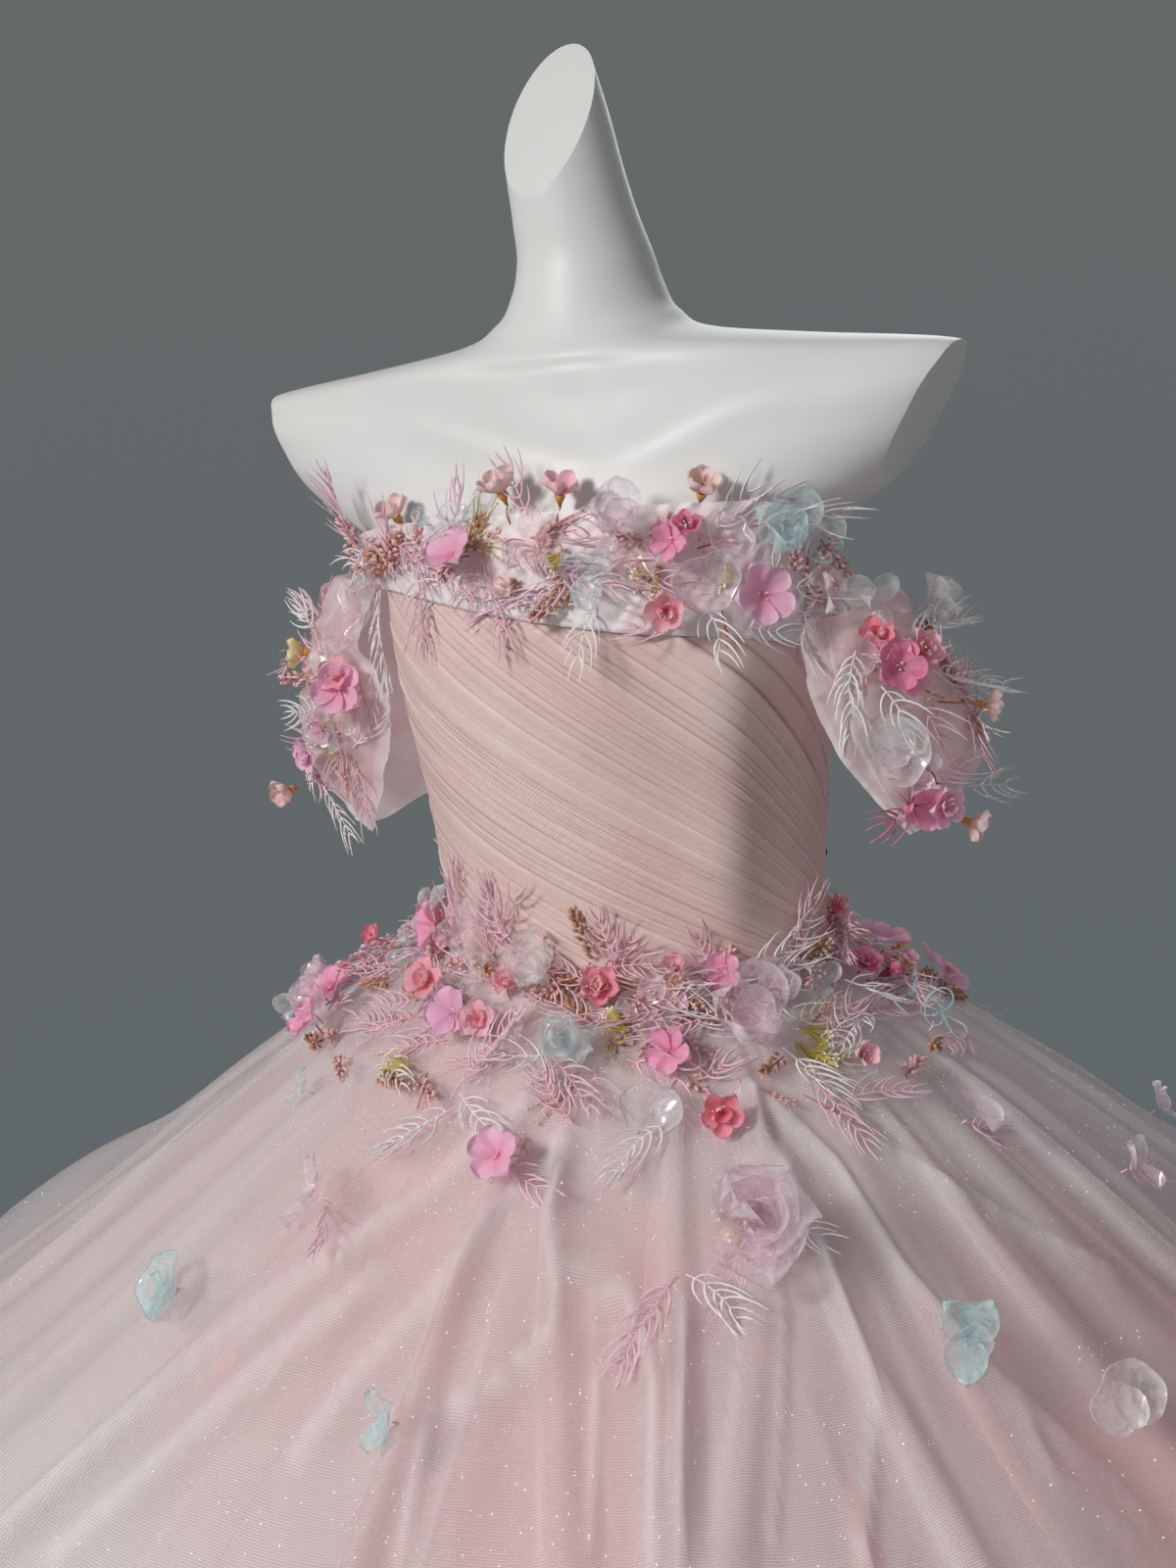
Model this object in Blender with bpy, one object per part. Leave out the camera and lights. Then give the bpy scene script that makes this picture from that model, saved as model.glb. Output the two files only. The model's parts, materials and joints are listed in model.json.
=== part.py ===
"""A ball gown of tulle and organza, worn by a limbless dress form on a stand.

Metres, +Z up. The form faces -Y. Angles are in degrees round the form, from its front (-Y)
towards +X, so +90 is the form's left side and 180 its centre back.
"""
import math

import bmesh
import bpy
import numpy as np

# ---------------------------------------------------------------- driving sizes
WALL = 0.0012            # thickness of every cloth wall
SEAM_GAP = 0.0003        # between two pieces that are sewn edge to edge
SEAT = 0.0004            # between a trim and the cloth that carries it
SKIN_GAP = 0.0021        # between the form and the cloth on it, where the cloth stands off most
TOP_EASE = 0.0010        # how much further the bodice stands off at its top edge
CENTRE_Y = -0.008        # the torso's axis lies a little in front of the pole
WAIST_Z = 1.055
WAIST_TILT = -0.05       # rise of the waist seam per metre towards +X
SIDE_SEAM = 105          # angle of both side seams
PLEAT_HEIGHT = 0.0015    # how far a pleat's ridge stands up from the bodice wall

BASE_RADIUS = 0.180
BASE_HEIGHT = 0.012
BASE_EDGE = 0.003
POLE_RADIUS = 0.014
BASE_POINTS = 32
POLE_POINTS = 16
FORM_POINTS = 28

# height, half width, half depth, centre x and centre y of the dress form, whose neck leans
# forward as it rises
FORM = np.array([
    (0.800, 0.1500, 0.1120, 0.004, -0.008),
    (0.880, 0.1600, 0.1180, 0.004, -0.008),
    (0.960, 0.1460, 0.1100, 0.004, -0.008),
    (1.000, 0.1300, 0.0990, 0.004, -0.008),
    (1.030, 0.1210, 0.0895, 0.004, -0.008),
    (1.055, 0.1195, 0.0880, 0.004, -0.008),
    (1.100, 0.1210, 0.0900, 0.004, -0.008),
    (1.160, 0.1270, 0.0950, 0.004, -0.008),
    (1.225, 0.1365, 0.1015, 0.004, -0.008),
    (1.260, 0.1400, 0.0980, 0.003, -0.008),
    (1.285, 0.1425, 0.0910, 0.002, -0.008),
    (1.302, 0.1520, 0.0860, 0.002, -0.008),
    (1.330, 0.1940, 0.0780, 0.001, -0.008),
    (1.360, 0.2300, 0.0680, 0.000, -0.008),
    (1.387, 0.2440, 0.0560, 0.000, -0.008),
    (1.401, 0.2220, 0.0460, 0.000, -0.008),
    (1.409, 0.1500, 0.0450, 0.000, -0.008),
    (1.417, 0.0860, 0.0455, -0.001, -0.003),
    (1.429, 0.0575, 0.0455, -0.001, 0.002),
    (1.444, 0.0462, 0.0440, -0.001, 0.005),
    (1.462, 0.0408, 0.0396, -0.001, 0.005),
    (1.485, 0.0371, 0.0360, -0.003, 0.001),
    (1.510, 0.0346, 0.0336, -0.005, -0.003),
    (1.540, 0.0324, 0.0314, -0.007, -0.007),
    (1.570, 0.0300, 0.0291, -0.009, -0.013),
    (1.600, 0.0275, 0.0267, -0.011, -0.019),
])
FORM_BOTTOM = FORM[0, 0]
# heights of further rings, so that the cloth lies evenly over the form
MORE_RINGS = (0.920, 1.243, 1.274, 1.293, 1.312, 1.345)
# x and z where each slanted arm cut leaves the shoulder
ARM_CUT_TOPS = {"right": (-0.226, 1.400), "left": (0.235, 1.400)}
ARM_CUT_LOW = (0.163, 1.285)
ARM_CUTTER_REACH = (0.320, 1.480)  # x and z of the cutting wedge's far corner
ARM_CUTTER_HALF_DEPTH = 0.150
NECK_CUT_CENTRE = (0.0, 0.0, 1.565)    # a point of the slanted neck cut
NECK_CUT_RISES = (0.325, 1.76)         # how it climbs towards the left arm and the back

# angle, height of the neckline band's lower edge, of its upper edge
NECKLINE = np.array([
    (-180, 1.262, 1.318),
    (-130, 1.260, 1.318),
    (-90, 1.264, 1.312),
    (-51, 1.280, 1.312),
    (-29, 1.277, 1.320),
    (-8, 1.270, 1.323),
    (13, 1.262, 1.325),
    (30, 1.256, 1.325),
    (49, 1.251, 1.322),
    (65, 1.245, 1.312),
    (90, 1.238, 1.296),
    (130, 1.248, 1.306),
    (180, 1.262, 1.318),
])
BODICE_UNDER_BAND = 0.010   # how far the bodice runs up under the band
BAND_STANDOFF = np.array([(0.0, 0.0063), (0.4, 0.0092), (1.0, 0.0115)])

# Guide lines of the draped pleats: start angle, start rise, end angle, end rise, and how many
# lines lead to the next guide. A rise runs from 0 at the waist seam to 1 at the top edge.
PLEAT_GUIDES = np.array([
    (-SIDE_SEAM, 0.00, -62, 0.00, 4),
    (-SIDE_SEAM, 0.20, -32, 0.00, 4),
    (-SIDE_SEAM, 0.42, 5, 0.00, 6),
    (-SIDE_SEAM, 0.66, 72, 0.00, 6),
    (-SIDE_SEAM, 0.88, 92, 0.00, 4),
    (-SIDE_SEAM, 1.00, SIDE_SEAM, 0.00, 4),
    (-60, 1.00, SIDE_SEAM, 0.06, 10),
    (-8, 1.00, SIDE_SEAM, 0.17, 8),
    (28, 1.00, SIDE_SEAM, 0.36, 4),
    (58, 1.00, SIDE_SEAM, 0.58, 0),
])
PLEAT_STEPS = 16
PLEAT_BOW = 0.05            # how far the pleats arch above a straight line, as a rise
BOW_LIMIT = 0.6             # the most an arch takes of the rise left above its line
WRAP_LINES = 11             # pleat lines of the panel that wraps in at the front panel's end
WRAP_POINTS = 4             # points down each of them
WRAP_TOP_CLEAR = 2.5        # angle between the two panels at the top edge
WRAP_FOOT_CLEAR = 1.5
WRAP_RISE_CLEAR = 0.006     # rise between the two panels along the front panel's last pleat
BACK_PLEAT_LINES = 20
BACK_STEPS = 5
BACK_SAG = 0.25             # how far the back pleats sag towards the closing seam, as a rise

# drop below the waist seam, flare beyond the waist, of the outer skirt
FLARE = np.array([
    (0.000, 0.000),
    (0.012, 0.013),
    (0.035, 0.055),
    (0.065, 0.098),
    (0.115, 0.166),
    (0.165, 0.229),
    (0.215, 0.296),
    (0.265, 0.363),
    (0.350, 0.470),
    (0.450, 0.570),
    (0.600, 0.677),
    (0.750, 0.745),
    (0.900, 0.790),
    (1.045, 0.825),
])
SKIRT_SWAY = (-0.135, 0.050)    # how the flare leans off centre, per metre of flare
SWAY_LIMIT = 0.40               # flare at which the lean stops growing
SLOPE_STEP = 0.002              # drop over which the flare's slope is measured
WAIST_HALF_WIDTH = 0.1236       # inner face of the outer skirt at its waist seam
WAIST_HALF_DEPTH = 0.0921
WAIST_X = 0.004
# drop, depth of the outer folds, depth of the underskirt's folds, space between the layers
LAYERS = np.array([
    (0.000, 0.0010, 0.0000, 0.0016),
    (0.050, 0.0030, 0.0010, 0.0095),
    (0.115, 0.0055, 0.0040, 0.0180),
    (0.300, 0.0120, 0.0060, 0.0280),
    (0.600, 0.0200, 0.0080, 0.0420),
    (1.045, 0.0280, 0.0100, 0.0540),
])
OUTER_DROPS = (0.0, 0.018, 0.050, 0.100, 0.175, 0.275, 0.420, 0.610, 0.830, 1.045)
UNDER_DROPS = (0.0, 0.018, 0.065, 0.170, 0.320, 0.560, 0.800, 1.040)
# the folds of the front, where each has a place of its own: angle, share of the full depth
FRONT_FOLDS = np.array([
    (-43.0, 0.8), (-33.0, 0.7), (-22.0, 0.9), (-12.5, 1.3), (-2.0, 0.6), (9.6, 1.4),
    (21.0, 1.0), (32.8, 1.2), (41.0, 1.0), (49.0, 1.2), (59.0, 0.7), (69.0, 1.1), (79.0, 0.8),
])
DEEPEST_FOLD = FRONT_FOLDS[:, 1].max()
OTHER_FOLDS = 23
OTHER_DEPTH = 0.95              # mean share of the full depth, and how far it wanders
OTHER_DEPTH_WANDER = 0.3
OTHER_PLACE_WANDER = 0.22       # how far a fold strays from even spacing, as a share of it
FOLD_PLACES = (0.0, 0.30, 0.70)       # columns of one fold: its ridge and two in its trough
FOLD_HEIGHTS = (1.0, -0.6, -0.6)
GORES = 6
UNDER_FOLDS = 24
UNDER_PANELS = 4

# Sleeve sections from the front edge, over the arm, to the back edge. Each row gives x (away
# from the body), y and z at the top edge, at the belly and at the hem.
SLEEVE_RIGHT_ARM = np.array([
    (0.136, -0.066, 1.284, 0.131, -0.055, 1.200, 0.166, -0.042, 1.121),
    (0.172, -0.056, 1.290, 0.205, -0.048, 1.210, 0.203, -0.030, 1.118),
    (0.198, -0.020, 1.292, 0.236, -0.018, 1.205, 0.230, -0.004, 1.124),
    (0.200, 0.020, 1.293, 0.240, 0.026, 1.206, 0.234, 0.030, 1.128),
    (0.178, 0.056, 1.292, 0.212, 0.066, 1.208, 0.200, 0.066, 1.122),
    (0.136, 0.066, 1.284, 0.150, 0.070, 1.208, 0.158, 0.074, 1.132),
])
SLEEVE_LEFT_ARM = np.array([
    (0.158, -0.036, 1.243, 0.160, -0.050, 1.197, 0.206, -0.047, 1.137),
    (0.166, -0.030, 1.256, 0.186, -0.045, 1.205, 0.215, -0.036, 1.142),
    (0.173, -0.005, 1.264, 0.203, -0.015, 1.212, 0.222, -0.012, 1.152),
    (0.172, 0.025, 1.265, 0.201, 0.025, 1.212, 0.224, 0.018, 1.168),
    (0.162, 0.050, 1.262, 0.184, 0.058, 1.206, 0.193, 0.058, 1.150),
    (0.146, 0.064, 1.256, 0.156, 0.070, 1.196, 0.160, 0.074, 1.130),
])
SLEEVE_COLUMNS = 13
SLEEVE_ROWS = 6
SLEEVE_SEAT = 0.75          # angle between a sleeve's top corner and the band's end
SLEEVE_JOIN = 0.2           # how far up the band's end that corner lies, from 0 to 1

BLOOM_HEIGHT = 0.014
BLOOM_VARIES = 0.25
BLOOM_BETWEEN = 0.25        # height between two blooms, as a share of theirs
GARLAND_END = 0.2           # angle by which each length of garland stops short of the next
GARLAND_BACKING = 0.0015
WAIST_GARLAND_SEGMENTS = 6
WAIST_GARLAND_START = -40   # angle at which its first length starts
WAIST_GARLAND_RISES = (0.11, 0.03)     # where it lies on the bodice
WAIST_GARLAND_ROWS_DOWN = 3            # rows of the skirt that it lies on
WAIST_GARLAND_POINTS = 8
WAIST_GARLAND_LIFT = 35     # upward angle of its blooms
APPLIQUE_LOBES = 5
LOBE_DEPTH = 0.22           # how far the gaps between lobes cut in, as a share of the radius
SKIRT_FALL = 0.62           # how much of a length along the skirt is drop
PETAL_THICKNESS = 0.0030
PETAL_SEAT = 0.0004         # above the ridge that carries the petal
PETAL_CUP = 0.25            # rise of a petal's rim, as a share of its radius

# loose petals and flowers on the skirt: angle, drop below the waist seam, radius
APPLIQUES = (
    (9.5, 0.072, 0.024), (-12.8, 0.098, 0.026), (40.2, 0.092, 0.034), (32.8, 0.112, 0.020),
    (-19.5, 0.148, 0.028), (11.2, 0.169, 0.022), (61.0, 0.152, 0.032), (70.5, 0.190, 0.028),
    (80.2, 0.079, 0.022), (99.8, 0.131, 0.026), (-31.8, 0.068, 0.014), (118.0, 0.235, 0.026),
    (-82.0, 0.080, 0.022), (-105.0, 0.120, 0.028), (-130.0, 0.165, 0.028),
    (-155.0, 0.085, 0.026), (178.0, 0.140, 0.030), (150.0, 0.080, 0.024), (125.0, 0.165, 0.026),
)

# ---------------------------------------------------------------- colours
COLOURS = {                 # red, green, blue, roughness, metallic
    "form_white": (0.80, 0.80, 0.79, 0.55, 0.0),
    "stand_metal": (0.62, 0.62, 0.63, 0.35, 1.0),
    "bodice_tulle": (0.76, 0.56, 0.52, 0.80, 0.0),
    "organza": (0.84, 0.70, 0.71, 0.60, 0.0),
    "skirt_tulle": (0.80, 0.68, 0.69, 0.70, 0.0),
    "underskirt_pink": (0.78, 0.48, 0.51, 0.80, 0.0),
    "flowers": (0.82, 0.36, 0.45, 0.60, 0.0),
    "clear_petal": (0.70, 0.80, 0.81, 0.25, 0.0),
}


def material(name):
    found = bpy.data.materials.get(name)
    if found:
        return found
    red, green, blue, roughness, metallic = COLOURS[name]
    made = bpy.data.materials.new(name)
    made.use_nodes = True
    shader = made.node_tree.nodes["Principled BSDF"]
    shader.inputs["Base Color"].default_value = (red, green, blue, 1.0)
    shader.inputs["Roughness"].default_value = roughness
    shader.inputs["Metallic"].default_value = metallic
    made.diffuse_color = (red, green, blue, 1.0)
    return made


# ---------------------------------------------------------------- curves and grids
def curve(at, table, column):
    """A smooth curve through one column of a table, whose first column is where it is read."""
    places = table[:, 0]
    values = table[:, column]
    slopes = np.gradient(values, places)
    at = np.clip(at, places[0], places[-1])
    row = np.clip(np.searchsorted(places, at, side="right") - 1, 0, len(places) - 2)
    span = places[row + 1] - places[row]
    share = (at - places[row]) / span
    start = values[row] * (1 + 2 * share) * (1 - share) ** 2
    end = values[row + 1] * share ** 2 * (3 - 2 * share)
    lift = slopes[row] * share * (1 - share) ** 2
    fall = slopes[row + 1] * share ** 2 * (share - 1)
    return start + end + span * (lift + fall)


def line(at, table, column):
    """Straight runs through one column of a table."""
    return np.interp(at, table[:, 0], table[:, column])


def finish(name, mesh, finish_name):
    mesh.normal_update()
    bmesh.ops.recalc_face_normals(mesh, faces=mesh.faces)
    data = bpy.data.meshes.new(name)
    mesh.to_mesh(data)
    mesh.free()
    data.materials.append(material(finish_name))
    data.shade_smooth()
    data.set_sharp_from_angle(angle=math.radians(40))
    thing = bpy.data.objects.new(name, data)
    bpy.context.scene.collection.objects.link(thing)
    return thing


def add_wall(name, inside, outside, finish_name):
    """One closed wall between two grids of points that match row by row and column by column."""
    rows, columns = inside.shape[:2]
    mesh = bmesh.new()
    inner = [[mesh.verts.new(inside[i, j]) for j in range(columns)] for i in range(rows)]
    outer = [[mesh.verts.new(outside[i, j]) for j in range(columns)] for i in range(rows)]

    def quad(a, b, c, d):
        mesh.faces.new((a, b, c))
        mesh.faces.new((a, c, d))

    for i in range(rows - 1):
        for j in range(columns - 1):
            quad(outer[i][j], outer[i + 1][j], outer[i + 1][j + 1], outer[i][j + 1])
            mesh.faces.new((inner[i][j], inner[i + 1][j + 1], inner[i + 1][j]))
            mesh.faces.new((inner[i][j], inner[i][j + 1], inner[i + 1][j + 1]))
    for i in range(rows - 1):
        quad(outer[i][0], inner[i][0], inner[i + 1][0], outer[i + 1][0])
        quad(outer[i][-1], outer[i + 1][-1], inner[i + 1][-1], inner[i][-1])
    for j in range(columns - 1):
        quad(outer[0][j], outer[0][j + 1], inner[0][j + 1], inner[0][j])
        quad(outer[-1][j], inner[-1][j], inner[-1][j + 1], outer[-1][j + 1])
    return finish(name, mesh, finish_name)


# ---------------------------------------------------------------- surfaces
def round_form(angle, height, out):
    """Points of the dress form's skin, moved out level by a distance."""
    turn = np.radians(angle)
    half_width = curve(height, FORM, 1) + out
    half_depth = curve(height, FORM, 2) + out
    x = curve(height, FORM, 3) + half_width * np.sin(turn)
    y = curve(height, FORM, 4) - half_depth * np.cos(turn)
    return np.stack([x, y, height], -1)


def waist_height(angle):
    return WAIST_Z + WAIST_TILT * WAIST_HALF_WIDTH * np.sin(np.radians(angle))


def bodice_top(angle):
    return curve(angle, NECKLINE, 1) + BODICE_UNDER_BAND


def on_bodice(angle, rise, out):
    low = waist_height(angle) + SEAM_GAP
    return round_form(angle, low + rise * (bodice_top(angle) - low), out + TOP_EASE * rise ** 4)


def on_skirt(angle, drop, out):
    """Points of the outer skirt's plain flare, moved out square to it by a distance."""
    turn = np.radians(angle)
    flare = curve(drop, FLARE, 1)
    below = curve(drop + SLOPE_STEP, FLARE, 1)
    above = curve(np.maximum(drop - SLOPE_STEP, 0), FLARE, 1)
    slope = np.where(drop > SLOPE_STEP, (below - above) / (2 * SLOPE_STEP), 0.0)
    level_part = out / np.sqrt(1 + slope ** 2)
    lean = np.minimum(flare, SWAY_LIMIT)
    half_width = WAIST_HALF_WIDTH + flare + level_part
    half_depth = WAIST_HALF_DEPTH + flare + level_part
    x = WAIST_X + half_width * np.sin(turn) + SKIRT_SWAY[0] * lean
    y = CENTRE_Y - half_depth * np.cos(turn) + SKIRT_SWAY[1] * lean
    settle = 1 - drop / FLARE[-1, 0]
    z = WAIST_Z + (waist_height(angle) - WAIST_Z) * settle - drop + slope * level_part
    return np.stack([x, y, z], -1)


# ---------------------------------------------------------------- form and stand
def cut_neck(mesh):
    """Cut the neck along its slanted plane and close it flat."""
    rise_left, rise_back = NECK_CUT_RISES
    everything = mesh.verts[:] + mesh.edges[:] + mesh.faces[:]
    result = bmesh.ops.bisect_plane(
        mesh, geom=everything, dist=1e-6, plane_co=NECK_CUT_CENTRE,
        plane_no=(-rise_left, -rise_back, 1), clear_outer=True)
    rim = [part for part in result["geom_cut"] if isinstance(part, bmesh.types.BMEdge)]
    bmesh.ops.contextual_create(mesh, geom=rim)


def arm_cutter(name):
    """A wedge whose slanted face is the arm cut. It starts above the armpit."""
    (top_x, top_z), (low_x, low_z) = ARM_CUT_TOPS[name], ARM_CUT_LOW
    side = 1 if top_x > 0 else -1
    top_x = abs(top_x)
    slope = (top_x - low_x) / (top_z - low_z)
    far, over = ARM_CUTTER_REACH
    half = ARM_CUTTER_HALF_DEPTH
    outline = ((low_x, low_z), (low_x + slope * (over - low_z), over), (far, over), (far, low_z))
    mesh = bmesh.new()
    ends = [[mesh.verts.new((side * x, y, z)) for x, z in outline] for y in (-half, half)]
    mesh.faces.new(ends[0])
    mesh.faces.new(ends[1][::-1])
    for j in range(4):
        k = (j + 1) % 4
        mesh.faces.new((ends[0][k], ends[0][j], ends[1][j], ends[1][k]))
    cutter = finish("arm_cutter_" + name, mesh, "form_white")
    cutter.hide_render = True
    cutter.display_type = "WIRE"
    return cutter


def add_form():
    heights = np.sort(np.concatenate([FORM[:, 0], MORE_RINGS]))
    angles = np.arange(FORM_POINTS) * 360 / FORM_POINTS
    mesh = bmesh.new()
    rings = [[mesh.verts.new(round_form(a, h, 0.0)) for a in angles] for h in heights]
    for low, high in zip(rings, rings[1:]):
        for j in range(FORM_POINTS):
            k = (j + 1) % FORM_POINTS
            mesh.faces.new((low[j], low[k], high[k], high[j]))
    mesh.faces.new(rings[0][::-1])
    mesh.faces.new(rings[-1])
    cut_neck(mesh)
    form = finish("form_torso", mesh, "form_white")
    for name in ARM_CUT_TOPS:
        trim = form.modifiers.new("arm_cut", "BOOLEAN")
        trim.object = arm_cutter(name)
        trim.operation = "DIFFERENCE"


def add_turned(name, profile, points, finish_name):
    """A solid turned about the pole's axis from (radius, height) pairs, bottom to top."""
    mesh = bmesh.new()
    turns = [2 * math.pi * j / points for j in range(points)]
    rings = [[mesh.verts.new((r * math.sin(t), -r * math.cos(t), z)) for t in turns]
             for r, z in profile]
    for low, high in zip(rings, rings[1:]):
        for j in range(points):
            k = (j + 1) % points
            mesh.faces.new((low[j], low[k], high[k], high[j]))
    mesh.faces.new(rings[0][::-1])
    mesh.faces.new(rings[-1])
    finish(name, mesh, finish_name)


def add_stand():
    edge = BASE_RADIUS - BASE_EDGE
    base = ((edge, 0), (BASE_RADIUS, BASE_EDGE), (BASE_RADIUS, BASE_HEIGHT - BASE_EDGE),
            (edge, BASE_HEIGHT))
    pole = ((POLE_RADIUS, BASE_HEIGHT + SEAM_GAP), (POLE_RADIUS, FORM_BOTTOM - SEAM_GAP))
    add_turned("stand_base", base, BASE_POINTS, "stand_metal")
    add_turned("stand_pole", pole, POLE_POINTS, "stand_metal")


# ---------------------------------------------------------------- bodice
def pleated(name, angle, rise):
    """A bodice panel with a row of points for each pleat line.

    Its inside is plain, and every second line outside is a raised ridge.
    """
    ridge = np.arange(len(rise))[:, None] % 2
    inside = on_bodice(angle, rise, SKIN_GAP)
    outside = on_bodice(angle, rise, SKIN_GAP + WALL + PLEAT_HEIGHT * ridge)
    return add_wall(name, inside, outside, "bodice_tulle")


def pull_in(angle, low, high):
    """Keep half a seam gap clear of the side seams at two angles."""
    half_gap = math.degrees(SEAM_GAP / WAIST_HALF_DEPTH)
    return np.clip(angle, low + half_gap, high - half_gap)


def add_bodice():
    guide_lines = np.concatenate([[0], np.cumsum(PLEAT_GUIDES[:-1, 4])])
    lines = int(guide_lines[-1]) + 1
    place = np.arange(lines)
    start_angle, start_rise, end_angle, end_rise = (
        np.interp(place, guide_lines, PLEAT_GUIDES[:, k])[:, None] for k in range(4))
    along = np.linspace(0, 1, PLEAT_STEPS + 1)[None, :]
    arch = PLEAT_BOW * 4 * along * (1 - along) * (place / place[-1])[:, None] ** 0.5
    angle = pull_in(start_angle + along * (end_angle - start_angle), -SIDE_SEAM, SIDE_SEAM)
    rise = start_rise + along * (end_rise - start_rise)
    rise = rise + np.minimum(arch, BOW_LIMIT * (1 - rise))
    pleated("bodice_front", angle, rise)
    add_wrap_panel(angle[-1], rise[-1])
    add_bodice_backs()


def add_wrap_panel(edge_angle, edge_rise):
    """The pleated panel between the front panel's last pleat and the left side seam."""
    top_angle = np.linspace(edge_angle[0] + WRAP_TOP_CLEAR, SIDE_SEAM, WRAP_LINES)[:, None]
    foot_angle = np.linspace(edge_angle[0] + WRAP_FOOT_CLEAR, SIDE_SEAM, WRAP_LINES)[:, None]
    foot_angle = pull_in(foot_angle, -SIDE_SEAM, SIDE_SEAM)
    foot_rise = np.interp(foot_angle, edge_angle, edge_rise) + WRAP_RISE_CLEAR
    down = np.linspace(0, 1, WRAP_POINTS)[None, :]
    angle = pull_in(top_angle + down * (foot_angle - top_angle), -SIDE_SEAM, SIDE_SEAM)
    pleated("bodice_wrap_panel", angle, 1 + down * (foot_rise - 1))


def add_bodice_backs():
    """Two back panels that meet at the closing seam down the centre back."""
    level = np.linspace(0, 1, BACK_PLEAT_LINES + 1)[:, None]
    across = np.linspace(0, 1, BACK_STEPS + 1)[None, :]
    rise = level - BACK_SAG * level * (1 - level) * across
    for side, name in ((-1, "bodice_back_right"), (1, "bodice_back_left")):
        angle = pull_in(SIDE_SEAM + across * (180 - SIDE_SEAM) + 0 * level, SIDE_SEAM, 180)
        pleated(name, side * angle, rise)


# ---------------------------------------------------------------- neckline band
def on_band(angle, across, out):
    """Points of the band, from 0 at its lower to 1 at its upper edge."""
    low = curve(angle, NECKLINE, 1)
    height = low + across * (curve(angle, NECKLINE, 2) - low)
    return round_form(angle, height, curve(across, BAND_STANDOFF, 1) + out)


BANDS = (                    # name, first angle, last angle, columns
    ("neckline_band_front", -58, 74, 26),
    ("neckline_band_back_right", -179.87, -128, 10),
    ("neckline_band_back_left", 128, 179.87, 10),
)
BAND_ROWS = 4


def band_grid(first, last, columns):
    return np.linspace(first, last, columns)[None, :], np.linspace(0, 1, BAND_ROWS)[:, None]


def add_bands():
    for name, first, last, columns in BANDS:
        angle, across = band_grid(first, last, columns)
        add_wall(name, on_band(angle, across, 0.0), on_band(angle, across, WALL), "organza")


# ---------------------------------------------------------------- sleeves
def on_sleeve(sections, side, along, down):
    """Points of a sleeve, along from its front to its back edge and down from top to hem."""
    places = np.linspace(0, 1, len(sections))[:, None]
    table = np.hstack([places, sections])
    top, belly, hem = (
        np.stack([curve(along, table, 3 * k + 1 + axis) for axis in range(3)], -1)
        for k in range(3))
    down = down[..., None]
    point = (top * (1 - down) * (1 - 2 * down) + belly * 4 * down * (1 - down)
             + hem * down * (2 * down - 1))
    return point * np.array([side, 1, 1])


def sleeve_normals(points, side):
    along = np.gradient(points, axis=1)
    down = np.gradient(points, axis=0)
    normal = np.cross(down, along) * side
    return normal / np.linalg.norm(normal, axis=-1, keepdims=True)


def seated(sections, side):
    """The sections with both top corners set edge to edge with the neckline band's ends."""
    names = {-1: ("neckline_band_front", "neckline_band_back_right"),
             1: ("neckline_band_front", "neckline_band_back_left")}[side]
    front, back = (next(row for row in BANDS if row[0] == name) for name in names)
    front_end = front[1] - SLEEVE_SEAT if side < 0 else front[2] + SLEEVE_SEAT
    back_end = back[2] + SLEEVE_SEAT if side < 0 else back[1] - SLEEVE_SEAT
    table = sections.copy()
    for row, end in ((0, front_end), (-1, back_end)):
        corner = on_band(np.array(float(end)), np.array(SLEEVE_JOIN), 0.0)
        table[row, :3] = corner * np.array([side, 1, 1])
    return table


def sleeve_grid(sections, side):
    down = np.linspace(0, 1, SLEEVE_ROWS)[:, None] + np.zeros((1, SLEEVE_COLUMNS))
    along = np.linspace(0, 1, SLEEVE_COLUMNS)[None, :] + np.zeros((SLEEVE_ROWS, 1))
    points = on_sleeve(seated(sections, side), side, along, down)
    return points, sleeve_normals(points, side)


SLEEVES = (                  # name, sections, side, first and last column of its garland
    ("right", SLEEVE_RIGHT_ARM, -1, 1, 8),
    ("left", SLEEVE_LEFT_ARM, 1, 1, 9),
)


def add_sleeves():
    for name, sections, side, _, _ in SLEEVES:
        points, out = sleeve_grid(sections, side)
        add_wall("sleeve_" + name, points, points + WALL * out, "organza")


# ---------------------------------------------------------------- skirts
def fold_columns():
    """Angle and relative height of each column of the outer skirt, front folds first."""
    first, last = FRONT_FOLDS[0, 0], FRONT_FOLDS[-1, 0]
    step = (first + 360 - last) / (OTHER_FOLDS + 1)
    count = np.arange(1, OTHER_FOLDS + 1)
    others = last + step * (count + OTHER_PLACE_WANDER * np.sin(2.4 * count))
    other_depths = OTHER_DEPTH + OTHER_DEPTH_WANDER * np.sin(1.7 * count)
    ridge = np.concatenate([FRONT_FOLDS[:, 0], others])
    depth = np.concatenate([FRONT_FOLDS[:, 1], other_depths])
    next_ridge = np.append(ridge[1:], ridge[0] + 360)
    next_depth = np.append(depth[1:], depth[0])
    angles, heights = [], []
    for place, height in zip(FOLD_PLACES, FOLD_HEIGHTS):
        angles.append(ridge + place * (next_ridge - ridge))
        heights.append(height * (depth + place * (next_depth - depth)))
    return np.array(angles).T.ravel(), np.array(heights).T.ravel()


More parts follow.
